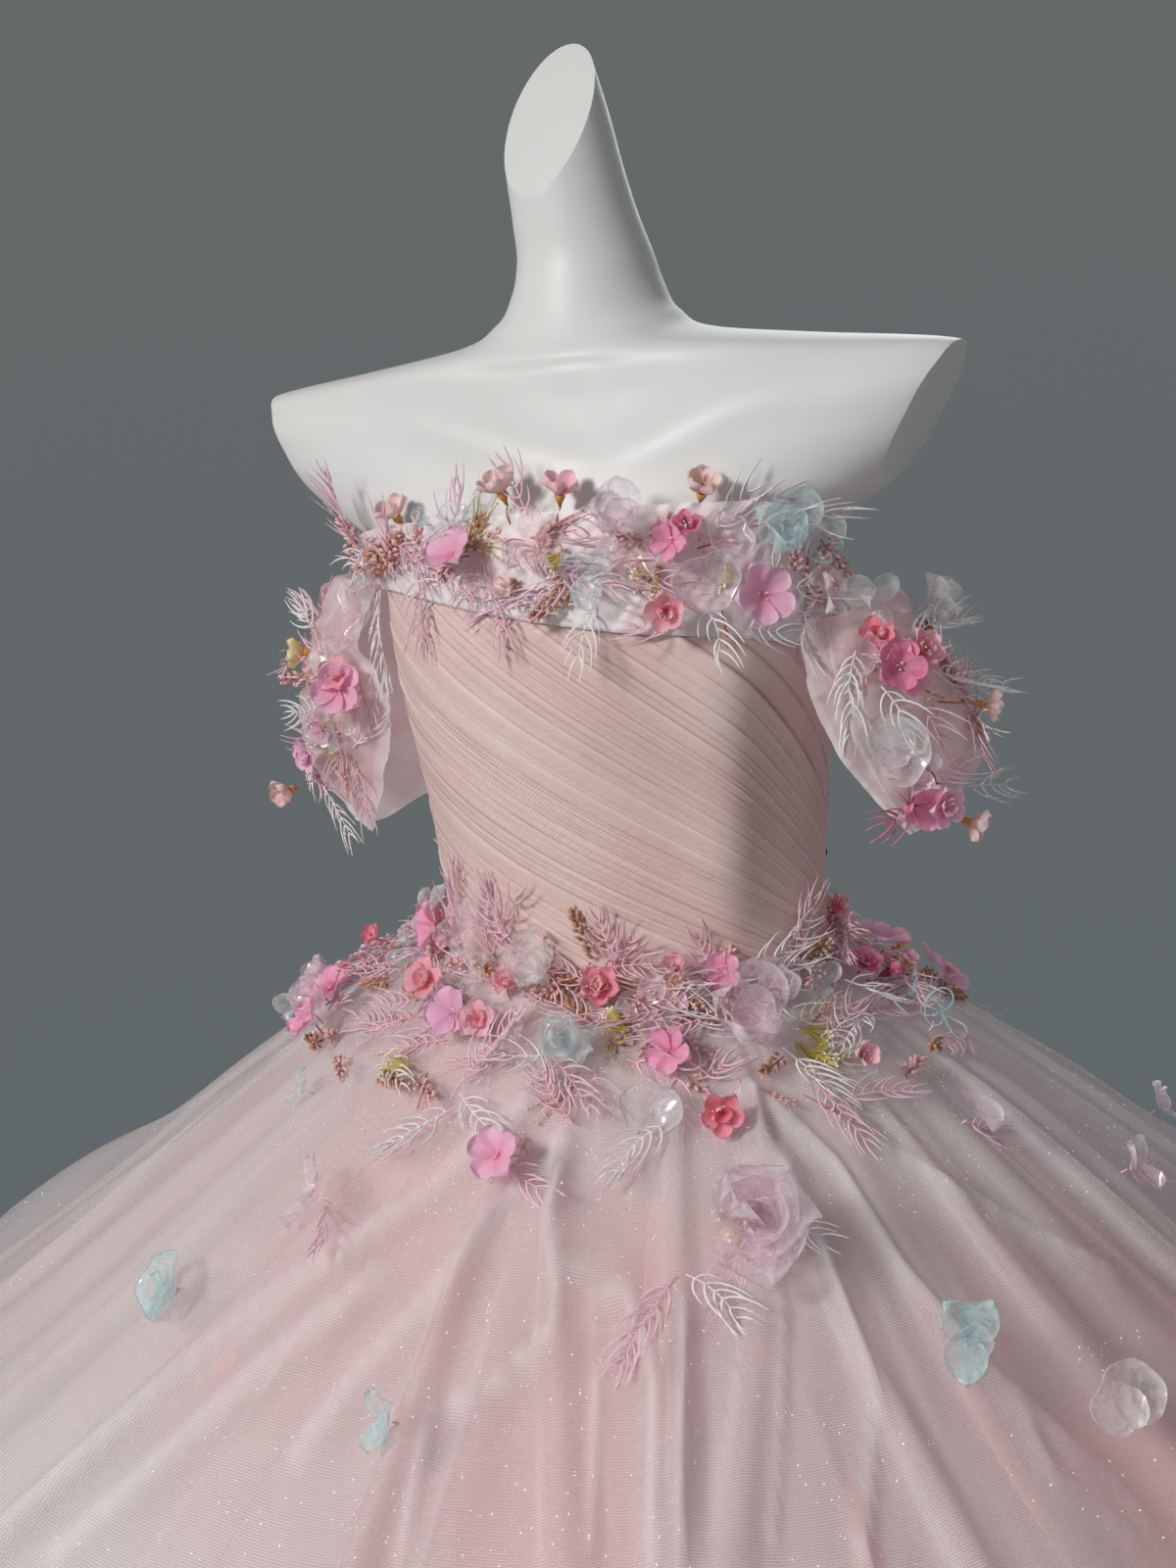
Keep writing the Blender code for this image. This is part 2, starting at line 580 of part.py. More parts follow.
def add_skirt_layer(names, angles, heights, drops, depth_column, inset, finish_name):
    """A skirt layer cut into equal runs of columns, a seam gap apart, one piece for each name."""
    drop = np.array(drops)[:, None]
    depth = line(drop, LAYERS, depth_column)
    run = len(angles) // len(names)
    all_angles = np.concatenate([angles, angles + 360])
    all_heights = np.concatenate([heights, heights])
    start = 1
    for number, name in enumerate(names):
        pick = slice(start + number * run, start + (number + 1) * run + 1)
        angle = all_angles[pick][None, :] + 0 * drop
        height = all_heights[pick][None, :]
        radius = WAIST_HALF_DEPTH + curve(drop, FLARE, 1)[:, 0]
        half_gap = np.degrees(SEAM_GAP / radius)
        angle[:, 0] += half_gap
        angle[:, -1] -= half_gap
        place = depth * height - inset(drop)
        inside = on_skirt(angle, drop, place)
        outside = on_skirt(angle, drop, place + WALL)
        add_wall(name, inside, outside, finish_name)


def add_skirts():
    angles, heights = fold_columns()
    gores = ["overskirt_gore_%d" % (k + 1) for k in range(GORES)]
    add_skirt_layer(gores, angles, heights, OUTER_DROPS, 1, lambda drop: 0.0, "skirt_tulle")
    angles = np.arange(2 * UNDER_FOLDS) * 180 / UNDER_FOLDS
    heights = np.where(np.arange(2 * UNDER_FOLDS) % 2 == 0, 1.0, -1.0)
    panels = ["underskirt_panel_%d" % (k + 1) for k in range(UNDER_PANELS)]
    add_skirt_layer(panels, angles, heights, UNDER_DROPS, 2,
                    lambda drop: line(drop, LAYERS, 3) + WALL, "underskirt_pink")


# ---------------------------------------------------------------- flowers
def bloom_heights(rows, columns):
    """Height over a strip: a flower at every second point past its first row and its ends."""
    row, column = np.indices((rows, columns))
    inside = (row > 0) & (column > 0) & (column < columns - 1)
    flower = inside & ((row + column) % 2 == 0)
    swell = 1 + BLOOM_VARIES * np.sin(2.1 * column + 1.3 * row)
    return GARLAND_BACKING + BLOOM_HEIGHT * swell * np.where(flower, 1.0, BLOOM_BETWEEN * inside)


def add_neckline_garland():
    """Flowers over all but the lowest strip of the front band, in two lengths."""
    _, first, last, columns = BANDS[0]
    angle, across = band_grid(first, last, columns)
    outward = np.stack([np.sin(np.radians(angle)), -np.cos(np.radians(angle)), 0 * angle], -1)
    middle = columns // 2
    for name, part in (("right", slice(0, middle + 1)), ("left", slice(middle, columns))):
        piece, rows = angle[:, part].copy(), across[1:]
        piece[:, 0] += GARLAND_END
        piece[:, -1] -= GARLAND_END
        inside = on_band(piece, rows, WALL + SEAT)
        outside = inside + bloom_heights(*inside.shape[:2])[..., None] * outward[:, part]
        add_wall("neckline_garland_" + name, inside, outside, "flowers")


def add_sleeve_garlands():
    for name, sections, side, first, last in SLEEVES:
        points, out = (grid[:-1, first:last + 1] for grid in sleeve_grid(sections, side))
        inside = points + (WALL + SEAT) * out
        outside = inside + bloom_heights(*inside.shape[:2])[..., None] * out
        add_wall("sleeve_garland_" + name, inside, outside, "flowers")


def add_waist_garland():
    """Flowers over the waist seam, lying half on the bodice and half on the skirt."""
    lift = math.radians(WAIST_GARLAND_LIFT)
    span = 360 / WAIST_GARLAND_SEGMENTS
    for number in range(WAIST_GARLAND_SEGMENTS):
        first = WAIST_GARLAND_START + number * span + GARLAND_END
        angle = np.linspace(first, first + span - 2 * GARLAND_END, WAIST_GARLAND_POINTS)
        turn = np.radians(angle)
        angle = (angle + 180) % 360 - 180
        on_cloth = SKIN_GAP + WALL + PLEAT_HEIGHT + 2 * SEAT
        rows = [on_bodice(angle, np.full_like(angle, rise), on_cloth)
                for rise in WAIST_GARLAND_RISES]
        for drop in OUTER_DROPS[:WAIST_GARLAND_ROWS_DOWN]:
            depth = DEEPEST_FOLD * line(drop, LAYERS, 1)
            rows.append(on_skirt(angle, np.full_like(angle, drop), depth + WALL + 2 * SEAT))
        inside = np.array(rows)
        direction = np.stack([np.sin(turn) * math.cos(lift), -np.cos(turn) * math.cos(lift),
                              np.full_like(turn, math.sin(lift))], -1)[None]
        outside = inside + bloom_heights(*inside.shape[:2])[..., None] * direction
        add_wall("waist_garland_%d" % (number + 1), inside, outside, "flowers")


def add_appliques():
    """Loose flowers and petals, cupped, each sewn to the nearest fold's ridge."""
    points = 3 * APPLIQUE_LOBES
    turn = np.arange(points) * 2 * math.pi / points
    fold_angles, fold_heights = fold_columns()
    lobes = 1 - LOBE_DEPTH * (1 - np.cos(APPLIQUE_LOBES * turn)) / 2
    for number, (near, drop, radius) in enumerate(APPLIQUES):
        away = np.abs((fold_angles - near + 180) % 360 - 180) + 90 * (fold_heights < 0)
        angle, fold = fold_angles[away.argmin()], fold_heights[away.argmin()]
        ring_radius = WAIST_HALF_WIDTH + float(curve(np.array(drop), FLARE, 1))
        side = np.degrees(radius * lobes * np.sin(turn) / ring_radius)
        down = drop + radius * lobes * np.cos(turn) * SKIRT_FALL
        mesh = bmesh.new()
        faces_of = []
        for lift in (PETAL_SEAT, PETAL_SEAT + PETAL_THICKNESS):
            rim_height = fold * line(down, LAYERS, 1) + WALL + lift + PETAL_CUP * radius
            rim = [mesh.verts.new(spot) for spot in on_skirt(angle + side, down, rim_height)]
            middle_height = fold * line(drop, LAYERS, 1) + WALL + lift
            middle = mesh.verts.new(on_skirt(angle, np.array(drop), middle_height))
            faces_of.append((middle, rim))
        (low_middle, low_rim), (high_middle, high_rim) = faces_of
        for j in range(points):
            k = (j + 1) % points
            mesh.faces.new((low_middle, low_rim[k], low_rim[j]))
            mesh.faces.new((high_middle, high_rim[j], high_rim[k]))
            mesh.faces.new((low_rim[j], low_rim[k], high_rim[k]))
            mesh.faces.new((low_rim[j], high_rim[k], high_rim[j]))
        finish_name = "clear_petal" if number % 2 else "flowers"
        finish("skirt_applique_%02d" % (number + 1), mesh, finish_name)


def main():
    for thing in list(bpy.data.objects):
        bpy.data.objects.remove(thing, do_unlink=True)
    add_stand()
    add_form()
    add_bodice()
    add_bands()
    add_sleeves()
    add_skirts()
    add_neckline_garland()
    add_sleeve_garlands()
    add_waist_garland()
    add_appliques()


main()
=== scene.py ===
"""The looks of a ball gown of tulle and organza on a limbless dress form.

Metres, +Z up. The form faces -Y. Angles are in degrees round the form, from its front (-Y)
towards +X. A drop is a depth below the waist seam, a rise goes from 0 at that seam to 1 at the
bodice's top edge.
"""

import json
import math

import bmesh
import bpy
import numpy as np
from mathutils import Matrix, Vector
from mathutils.bvhtree import BVHTree

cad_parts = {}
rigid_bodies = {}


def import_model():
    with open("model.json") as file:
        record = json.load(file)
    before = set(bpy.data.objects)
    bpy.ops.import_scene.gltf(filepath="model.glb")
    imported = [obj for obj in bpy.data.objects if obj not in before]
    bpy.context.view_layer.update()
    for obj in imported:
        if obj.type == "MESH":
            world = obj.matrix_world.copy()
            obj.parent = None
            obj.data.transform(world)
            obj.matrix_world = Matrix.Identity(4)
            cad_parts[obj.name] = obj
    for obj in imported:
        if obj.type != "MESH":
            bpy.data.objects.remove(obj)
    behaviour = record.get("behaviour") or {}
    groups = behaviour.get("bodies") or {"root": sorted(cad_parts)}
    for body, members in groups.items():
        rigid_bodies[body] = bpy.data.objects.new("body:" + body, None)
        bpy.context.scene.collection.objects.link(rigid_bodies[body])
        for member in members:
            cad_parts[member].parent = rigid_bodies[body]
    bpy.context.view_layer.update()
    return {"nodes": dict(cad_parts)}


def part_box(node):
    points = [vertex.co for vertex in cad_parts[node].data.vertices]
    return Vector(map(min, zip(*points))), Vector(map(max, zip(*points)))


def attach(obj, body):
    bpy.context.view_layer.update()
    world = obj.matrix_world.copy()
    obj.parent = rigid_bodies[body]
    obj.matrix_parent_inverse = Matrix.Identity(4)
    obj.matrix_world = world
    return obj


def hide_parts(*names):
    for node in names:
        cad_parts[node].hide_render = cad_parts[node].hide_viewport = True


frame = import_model()

# ---- camera
CAMERA_AT = Vector((0.64889, -1.06838, 1.39933))
CAMERA_RIGHT = Vector((0.85086, 0.51869, -0.08367))
CAMERA_UP = Vector((-0.03187, 0.20990, 0.97720))
CAMERA_FORWARD = Vector((-0.52443, 0.82880, -0.19513))
CAMERA_LENS = 47.68          # mm, on a 36 mm sensor along the picture's longer side
SENSOR = 36.0
PICTURE = (1200, 1600)
FOCAL_PIXELS = CAMERA_LENS / SENSOR * PICTURE[1]

# ---- the form
# height, half width, half depth, centre x and centre y; the neck leans forward
FORM = np.array([
    (0.800, 0.1500, 0.1120, 0.004, -0.008),
    (0.880, 0.1600, 0.1180, 0.004, -0.008),
    (0.960, 0.1460, 0.1100, 0.004, -0.008),
    (1.000, 0.1300, 0.0990, 0.004, -0.008),
    (1.030, 0.1210, 0.0895, 0.004, -0.008),
    (1.055, 0.1195, 0.0880, 0.004, -0.008),
    (1.100, 0.1210, 0.0900, 0.004, -0.008),
    (1.160, 0.1270, 0.0950, 0.004, -0.008),
    (1.225, 0.1365, 0.1015, 0.004, -0.008),
    (1.260, 0.1400, 0.0980, 0.003, -0.008),
    (1.285, 0.1425, 0.0910, 0.002, -0.008),
    (1.302, 0.1520, 0.0860, 0.002, -0.008),
    (1.330, 0.1940, 0.0780, 0.001, -0.008),
    (1.360, 0.2300, 0.0680, 0.000, -0.008),
    (1.387, 0.2440, 0.0560, 0.000, -0.008),
    (1.401, 0.2220, 0.0460, 0.000, -0.008),
    (1.409, 0.1500, 0.0450, 0.000, -0.008),
    (1.417, 0.0860, 0.0455, -0.001, -0.003),
    (1.429, 0.0575, 0.0455, -0.001, 0.002),
    (1.444, 0.0462, 0.0440, -0.001, 0.005),
    (1.462, 0.0408, 0.0396, -0.001, 0.005),
    (1.485, 0.0371, 0.0360, -0.003, 0.001),
    (1.510, 0.0346, 0.0336, -0.005, -0.003),
    (1.540, 0.0324, 0.0314, -0.007, -0.007),
    (1.570, 0.0300, 0.0291, -0.009, -0.013),
    (1.600, 0.0275, 0.0267, -0.011, -0.019),
])
CENTRE_Y = -0.008
FORM_POINTS = 128
FORM_STEP = 0.0035                 # distance between its rings, along the skin
ARM_CUT_TOPS = ((-0.226, 1.400), (0.235, 1.400))      # x and z of the right and the left one
ARM_CUT_LOW = (0.163, 1.285)
ARM_CUTTER_REACH = (0.320, 1.480)
NECK_CUT_CENTRE = (0.0, 0.0, 1.565)
NECK_CUT_RISES = (0.325, 1.76)     # how it climbs towards the left arm and the back
CUT_EDGE = 0.0022                  # roundness of the cuts' edges
# collarbones and hollows on the chest: x and z at both ends, width across, height
CHEST_RELIEF = (
    (0.030, 1.402, 0.037, 1.350, 0.0130, -0.0055),     # throat
    (-0.096, 1.383, 0.020, 1.352, 0.0130, 0.0038),     # right collarbone
    (-0.105, 1.364, 0.005, 1.338, 0.0140, -0.0020),    # hollow under it
    (0.046, 1.350, 0.145, 1.380, 0.0145, 0.0033),      # left collarbone
    (0.056, 1.366, 0.098, 1.394, 0.0150, -0.0042),     # hollow above it
    (-0.044, 1.398, 0.010, 1.369, 0.0140, -0.0040),    # hollow above the right one
)

# ---- bodice, band and sleeves
WALL = 0.0012                   # thickness of each cloth in the solid model
WAIST_Z = 1.055
WAIST_TILT = -0.05
SKIN_GAP = 0.0021
TOP_EASE = 0.0010
SIDE_SEAM = 105
TURN_PLACE = 51.0               # angle where the bodice's flat front turns into its left side
TURN_WIDTH = 11.0
TURN_HEIGHT = 0.0085
# angle, height of the neckline band's lower edge, of its upper edge
NECKLINE = np.array([
    (-180, 1.262, 1.318), (-130, 1.260, 1.318), (-90, 1.264, 1.312), (-51, 1.280, 1.312),
    (-29, 1.277, 1.320), (-8, 1.270, 1.323), (13, 1.262, 1.325), (30, 1.256, 1.325),
    (49, 1.251, 1.322), (65, 1.245, 1.312), (90, 1.238, 1.296), (130, 1.248, 1.306),
    (180, 1.262, 1.318),
])
BODICE_UNDER_BAND = 0.010       # how far the bodice reaches up behind the band
BAND_STANDOFF = np.array([(0.0, 0.0063), (0.4, 0.0092), (1.0, 0.0115)])
# guide lines of the draped pleats: start angle and rise, end angle and rise, and where they
# lie from 0 at the right side of the waist to 1 at the wrap panel's edge
PLEAT_GUIDES = np.array([
    (-SIDE_SEAM, 0.00, -62, 0.00, 0.000),
    (-SIDE_SEAM, 0.20, -32, 0.00, 0.087),
    (-SIDE_SEAM, 0.42, 5, 0.00, 0.174),
    (-SIDE_SEAM, 0.66, 72, 0.00, 0.304),
    (-SIDE_SEAM, 0.88, 92, 0.00, 0.435),
    (-SIDE_SEAM, 1.00, SIDE_SEAM, 0.00, 0.522),
    (-60, 1.00, SIDE_SEAM, 0.06, 0.609),
    (-8, 1.00, SIDE_SEAM, 0.17, 0.826),
    (28, 1.00, SIDE_SEAM, 0.36, 0.957),
    (58, 1.00, SIDE_SEAM, 0.58, 1.000),
])
PLEAT_BOW = 0.05
BOW_LIMIT = 0.6
FRONT_PLEATS = 46
WRAP_PLEATS = 8
BACK_PLEATS = 24
PLEAT_RISE = 0.0013
# across each pleat: place, height, depth of the shade painted into its crease (1 is none), strength
# of the highlight painted on its ridge
PLEAT_SHAPE = np.array([
    (0.01, 0.08, 0.26, 0.46, 0.52, 0.58, 0.78, 0.90, 0.975),
    (0.02, 0.20, 0.45, 0.66, 0.66, 0.76, 0.92, 1.00, 0.94),
    (0.02, 0.80, 1.0, 1.0, 1.0, 1.0, 1.0, 1.0, 0.72),
    (0.0, 0.0, 0.0, 0.0, 0.0, 0.0, 0.30, 0.75, 0.40),
])
WRAP_EDGE = (59.5, 58.5)        # angles where the wrap panel starts, at its top and its foot
WRAP_MIDDLE = 80                # angle of its middle
WRAP_INSET = 0.0006             # how far it is let in there, into the side
BACK_SAG = 0.25
BACK_SEAM_GAP = 0.15            # degrees from each back panel to the middle

SLEEVE_RIGHT_ARM = np.array([
    (0.136, -0.066, 1.284, 0.131, -0.055, 1.200, 0.166, -0.042, 1.121),
    (0.160, -0.058, 1.286, 0.200, -0.048, 1.206, 0.202, -0.032, 1.142),
    (0.184, -0.022, 1.284, 0.230, -0.018, 1.203, 0.238, -0.004, 1.160),
    (0.186, 0.018, 1.284, 0.238, 0.026, 1.204, 0.226, 0.030, 1.110),
    (0.178, 0.056, 1.292, 0.212, 0.066, 1.208, 0.200, 0.066, 1.122),
    (0.136, 0.066, 1.284, 0.150, 0.070, 1.208, 0.158, 0.074, 1.132),
])
SLEEVE_LEFT_ARM = np.array([
    (0.158, -0.036, 1.243, 0.160, -0.050, 1.197, 0.206, -0.047, 1.137),
    (0.166, -0.030, 1.256, 0.186, -0.045, 1.205, 0.215, -0.036, 1.142),
    (0.173, -0.005, 1.264, 0.203, -0.015, 1.212, 0.222, -0.012, 1.152),
    (0.172, 0.025, 1.265, 0.201, 0.025, 1.212, 0.224, 0.018, 1.168),
    (0.162, 0.050, 1.262, 0.184, 0.058, 1.206, 0.193, 0.058, 1.150),
    (0.146, 0.064, 1.256, 0.156, 0.070, 1.196, 0.160, 0.074, 1.130),
])
# the right sleeve's front edge swings out below its top: depth, spread down and along, how far
SLEEVE_SWING = (0.22, 0.15, 0.15, 0.022)
SLEEVE_SEAT = 0.75              # degrees from a band's end to a sleeve's corner
SLEEVE_JOIN = 0.2               # where that corner lies across the band
SLEEVES = (("right", SLEEVE_RIGHT_ARM, -1), ("left", SLEEVE_LEFT_ARM, 1))
FRONT_BAND_ENDS = (-58, 74)
BACK_BAND_START = 128
BANDS = (                    # name, first angle, last angle, columns
    ("neckline_band_front", *FRONT_BAND_ENDS, 240),
    ("neckline_band_back_right", -179.87, -BACK_BAND_START, 90),
    ("neckline_band_back_left", BACK_BAND_START, 179.87, 90),
)
BAND_LIFT = 0.0002                     # how far the folded strip stands off its carrier
BAND_RUCKS = (0.0011, 0.0004)          # height of the coarse and the fine ones
SLEEVE_RUCKS = (0.0022, 0.0007)
SLEEVE_TUCK = (0.10, 0.03, 0.010, 0.0016)     # its place along, wander, width and rise

# ---- skirts
FLARE = np.array([           # drop, flare beyond the waist
    (0.000, 0.000), (0.012, 0.013), (0.035, 0.055), (0.065, 0.098), (0.115, 0.166),
    (0.165, 0.229), (0.215, 0.296), (0.265, 0.363), (0.350, 0.470), (0.450, 0.570),
    (0.600, 0.677), (0.750, 0.745), (0.900, 0.790), (1.045, 0.825),
])
SKIRT_LENGTH = FLARE[-1, 0]
SKIRT_SWAY = (-0.135, 0.050)
SWAY_LIMIT = 0.40
SLOPE_STEP = 0.002
WAIST_HALF_WIDTH = 0.1236
WAIST_HALF_DEPTH = 0.0921
WAIST_X = 0.004
# drop, depth of the outer folds, of the underskirt's folds, space between those layers
LAYERS = np.array([
    (0.000, 0.0010, 0.0000, 0.0016),
    (0.050, 0.0030, 0.0010, 0.0095),
    (0.115, 0.0055, 0.0040, 0.0180),
    (0.300, 0.0120, 0.0060, 0.0280),
    (0.600, 0.0200, 0.0080, 0.0420),
    (1.045, 0.0280, 0.0100, 0.0540),
])
OUTER_DEPTHS, INNER_DEPTHS, SPACES = 1, 2, 3          # columns of that table
MIDDLE_PLACE = 0.78          # share of that space from the outer to the middle skirt
# the front's folds: angle at a drop of 0.13, share of the full depth, drift per metre of drop,
# half width of the ridge as a share of the spacing
FRONT_FOLDS = np.array([
    (-43.0, 0.7, -20, 0.34), (-33.0, 0.6, -30, 0.30), (-22.0, 0.7, -45, 0.32),
    (-12.5, 1.2, -68, 0.18), (-2.0, 0.6, -15, 0.30), (9.6, 1.4, 8, 0.16), (21.0, 1.0, 60, 0.20),
    (32.8, 1.2, -10, 0.20), (41.0, 1.0, -70, 0.20), (49.0, 1.2, 44, 0.16), (59.0, 0.7, 20, 0.28),
    (69.0, 1.1, 24, 0.18), (79.0, 0.8, 15, 0.26),
])
# where the outer nets lie thin and let the pink through, or thick where the share is negative:
# angle, drop, width, height, share
THIN_PLACES = (
    (72, 0.27, 19, 0.15, 1.1), (98, 0.25, 14, 0.10, 0.6), (-28, 0.44, 18, 0.12, 0.6),
    (-50, 0.42, 16, 0.12, 0.4), (24, 0.30, 8, 0.16, 0.35), (6, 0.40, 7, 0.12, 0.4),
    (150, 0.32, 18, 0.12, 0.8), (-150, 0.38, 20, 0.12, 0.8), (-100, 0.42, 15, 0.11, 0.7),
    (-52, 0.15, 24, 0.16, -0.45), (30, 0.70, 20, 0.15, 0.4), (-60, 0.75, 25, 0.15, 0.5),
    (120, 0.72, 25, 0.15, 0.5),
)
# creases of the outer skirt as seen, in the picture's pixels: its course, half width, rise in m
SEEN_CREASES = (
    (((540, 1120), (440, 1215), (310, 1300), (150, 1430), (0, 1560)), 11, 0.0040),
    (((573, 1163), (500, 1245), (440, 1320), (360, 1410), (307, 1480)), 10, 0.0038),
    (((387, 1297), (290, 1375), (200, 1457), (53, 1590)), 11, 0.0032),
    (((573, 1200), (557, 1250), (580, 1300), (640, 1330), (667, 1400), (664, 1590)), 9, 0.0080),
    (((560, 1277), (573, 1350), (507, 1417), (440, 1450), (413, 1590)), 9, 0.0060),
    (((590, 1265), (625, 1290), (650, 1320)), 26, 0.0080),
    (((700, 1340), (693, 1590)), 6, 0.0050),
    (((610, 1420), (604, 1590)), 7, 0.0040),
    (((800, 1180), (827, 1243), (893, 1417), (880, 1590)), 7, 0.0060),
    (((800, 1330), (796, 1460), (786, 1590)), 6, 0.0040),
    (((770, 1110), (853, 1190), (920, 1297), (1013, 1403), (1173, 1550)), 7, 0.0055),
    (((860, 1150), (933, 1190), (1060, 1262), (1187, 1323)), 6, 0.0045),
    (((1040, 1430), (1067, 1497), (1200, 1600)), 7, 0.0045),
)
SHARP_CREASE = 12            # a crease narrower than this shows a doubled line
DRIFT_FROM = 0.13
DRIFT_SPAN = 0.12            # drop over which a fold's drift levels out
OTHER_FOLDS = 23
OTHER_DEPTH = 0.95
OTHER_DEPTH_WANDER = 0.3
OTHER_PLACE_WANDER = 0.22
FOLD_TROUGH = 0.6
FOLD_SPACING = 10.0
GATHER_RISE = 0.0006           # of the small gathers at the waist
FOLD_SOFTNESS = 0.8             # depth of the cloth's folds, as a share of the solid's


# ---- curves and surfaces
def listed(text):
    """The rows of a table of words and numbers. A comma ends each row but the last."""
    return [[word if word[0].isalpha() else float(word) for word in row.split()]
            for row in text.split(",")]


def soft(away, width):
    """A soft bump: 1 where away is 0, and less the further away."""
    return np.exp(-(away / width) ** 2)


def running(steps):
    """Running sums of some steps, from 0."""
    return np.concatenate([[0], np.cumsum(steps)])


def half_turn(angle):
    """The same angle, from -180 to 180."""
    return (angle + 180) % 360 - 180


def curve(at, table, column):
    """A smooth curve through one column of a table, whose first column is where it is read."""
    places = table[:, 0]
    values = table[:, column]
    slopes = np.gradient(values, places)
    at = np.clip(at, places[0], places[-1])
    row = np.clip(np.searchsorted(places, at, side="right") - 1, 0, len(places) - 2)
    span = places[row + 1] - places[row]
    share = (at - places[row]) / span
    start = values[row] * (1 + 2 * share) * (1 - share) ** 2
    end = values[row + 1] * share ** 2 * (3 - 2 * share)
    lift = slopes[row] * share * (1 - share) ** 2
    fall = slopes[row + 1] * share ** 2 * (share - 1)
    return start + end + span * (lift + fall)


def line(at, table, column):
    return np.interp(at, table[:, 0], table[:, column])


def round_form(angle, height, out):
    """Points of the dress form's skin, moved out level by a distance."""
    turn = np.radians(angle)
    half_width = curve(height, FORM, 1) + out
    half_depth = curve(height, FORM, 2) + out
    x = curve(height, FORM, 3) + half_width * np.sin(turn)
    y = curve(height, FORM, 4) - half_depth * np.cos(turn)
    return np.stack([x, y, height + 0 * turn], -1)


def waist_height(angle):
    return WAIST_Z + WAIST_TILT * WAIST_HALF_WIDTH * np.sin(np.radians(angle))


def on_bodice(angle, rise, out):
    """Points of the bodice, whose flat front turns into the left side along a soft edge."""
    low = waist_height(angle)
    top = curve(angle, NECKLINE, 1) + BODICE_UNDER_BAND
    turn = TURN_HEIGHT * soft(angle - TURN_PLACE, TURN_WIDTH)
    held = np.clip(rise / 0.35, 0, 1) * np.clip((1.04 - rise) / 0.20, 0.2, 1)
    stand = out + TOP_EASE * rise ** 4 + turn * held
    return round_form(angle, low + rise * (top - low), stand)


def on_band(angle, across, out):
    low = curve(angle, NECKLINE, 1)
    height = low + across * (curve(angle, NECKLINE, 2) - low)
    return round_form(angle, height, curve(across, BAND_STANDOFF, 1) + out)


def on_skirt(angle, drop, out):
    """Points of the outer skirt's plain flare, moved out square to it by a distance."""
    turn = np.radians(angle)
    flare = curve(drop, FLARE, 1)
    below = curve(drop + SLOPE_STEP, FLARE, 1)
    above = curve(np.maximum(drop - SLOPE_STEP, 0), FLARE, 1)
    slope = np.where(drop > SLOPE_STEP, (below - above) / (2 * SLOPE_STEP), 0.0)
    level_part = out / np.sqrt(1 + slope ** 2)
    lean = np.minimum(flare, SWAY_LIMIT)
    half_width = WAIST_HALF_WIDTH + flare + level_part
    half_depth = WAIST_HALF_DEPTH + flare + level_part
    x = WAIST_X + half_width * np.sin(turn) + SKIRT_SWAY[0] * lean
    y = CENTRE_Y - half_depth * np.cos(turn) + SKIRT_SWAY[1] * lean
    settle = 1 - drop / SKIRT_LENGTH
    z = WAIST_Z + (waist_height(angle) - WAIST_Z) * settle - drop + slope * level_part
    return np.stack([x, y, z], -1)


def on_sleeve(sections, side, along, down):
    """Points of a sleeve, along from its front to its back edge and down from top to hem."""
    places = np.linspace(0, 1, len(sections))[:, None]
    table = np.hstack([places, sections])
    top, belly, hem = (
        np.stack([curve(along, table, 3 * k + 1 + axis) for axis in range(3)], -1)
        for k in range(3))
    down = down[..., None]
    point = (top * (1 - down) * (1 - 2 * down) + belly * 4 * down * (1 - down)
             + hem * down * (2 * down - 1))
    return point * np.array([side, 1, 1])


def seated(sections, side):
    """The sections with both top corners set edge to edge with the neckline band's ends."""
    front_end = FRONT_BAND_ENDS[0 if side < 0 else 1] + side * SLEEVE_SEAT
    back_end = side * (BACK_BAND_START - SLEEVE_SEAT)
    table = sections.copy()
    for row, end in ((0, front_end), (-1, back_end)):
        corner = on_band(np.array(float(end)), np.array(SLEEVE_JOIN), 0.0)
        table[row, :3] = corner * np.array([side, 1, 1])
    return table


def normals(points, side=1.0):
    """Unit normals of a grid of points."""
    across = np.gradient(points, axis=1)
    down = np.gradient(points, axis=0)
    normal = np.cross(down, across) * side
    length = np.linalg.norm(normal, axis=-1, keepdims=True)
    return normal / np.maximum(length, 1e-12)


def waves(count, low, high, seed):
    """A soft random function of two grids, made of sines, between about -1 and 1."""
    draw = np.random.default_rng(seed)
    across = draw.uniform(low, high, count)
    down = draw.uniform(-high, high, count) * 0.3
    phase = draw.uniform(0, 2 * math.pi, count)
    share = draw.uniform(0.4, 1.0, count)
    share /= np.sqrt((share ** 2).sum() / 2) * 1.6

    def value(u, v):
        total = 0.0
        for a, d, p, s in zip(across, down, phase, share):
            total = total + s * np.sin(a * u + d * v + p)
        return total
    return value


# ---- making meshes
def linked(name, data):
    """A new object in the scene."""
    thing = bpy.data.objects.new(name, data)
    bpy.context.scene.collection.objects.link(thing)
    return thing


def finished(name, mesh):
    """A new object in the scene from a bmesh, which is freed."""
    data = bpy.data.meshes.new(name)
    mesh.to_mesh(data)
    mesh.free()
    return linked(name, data)


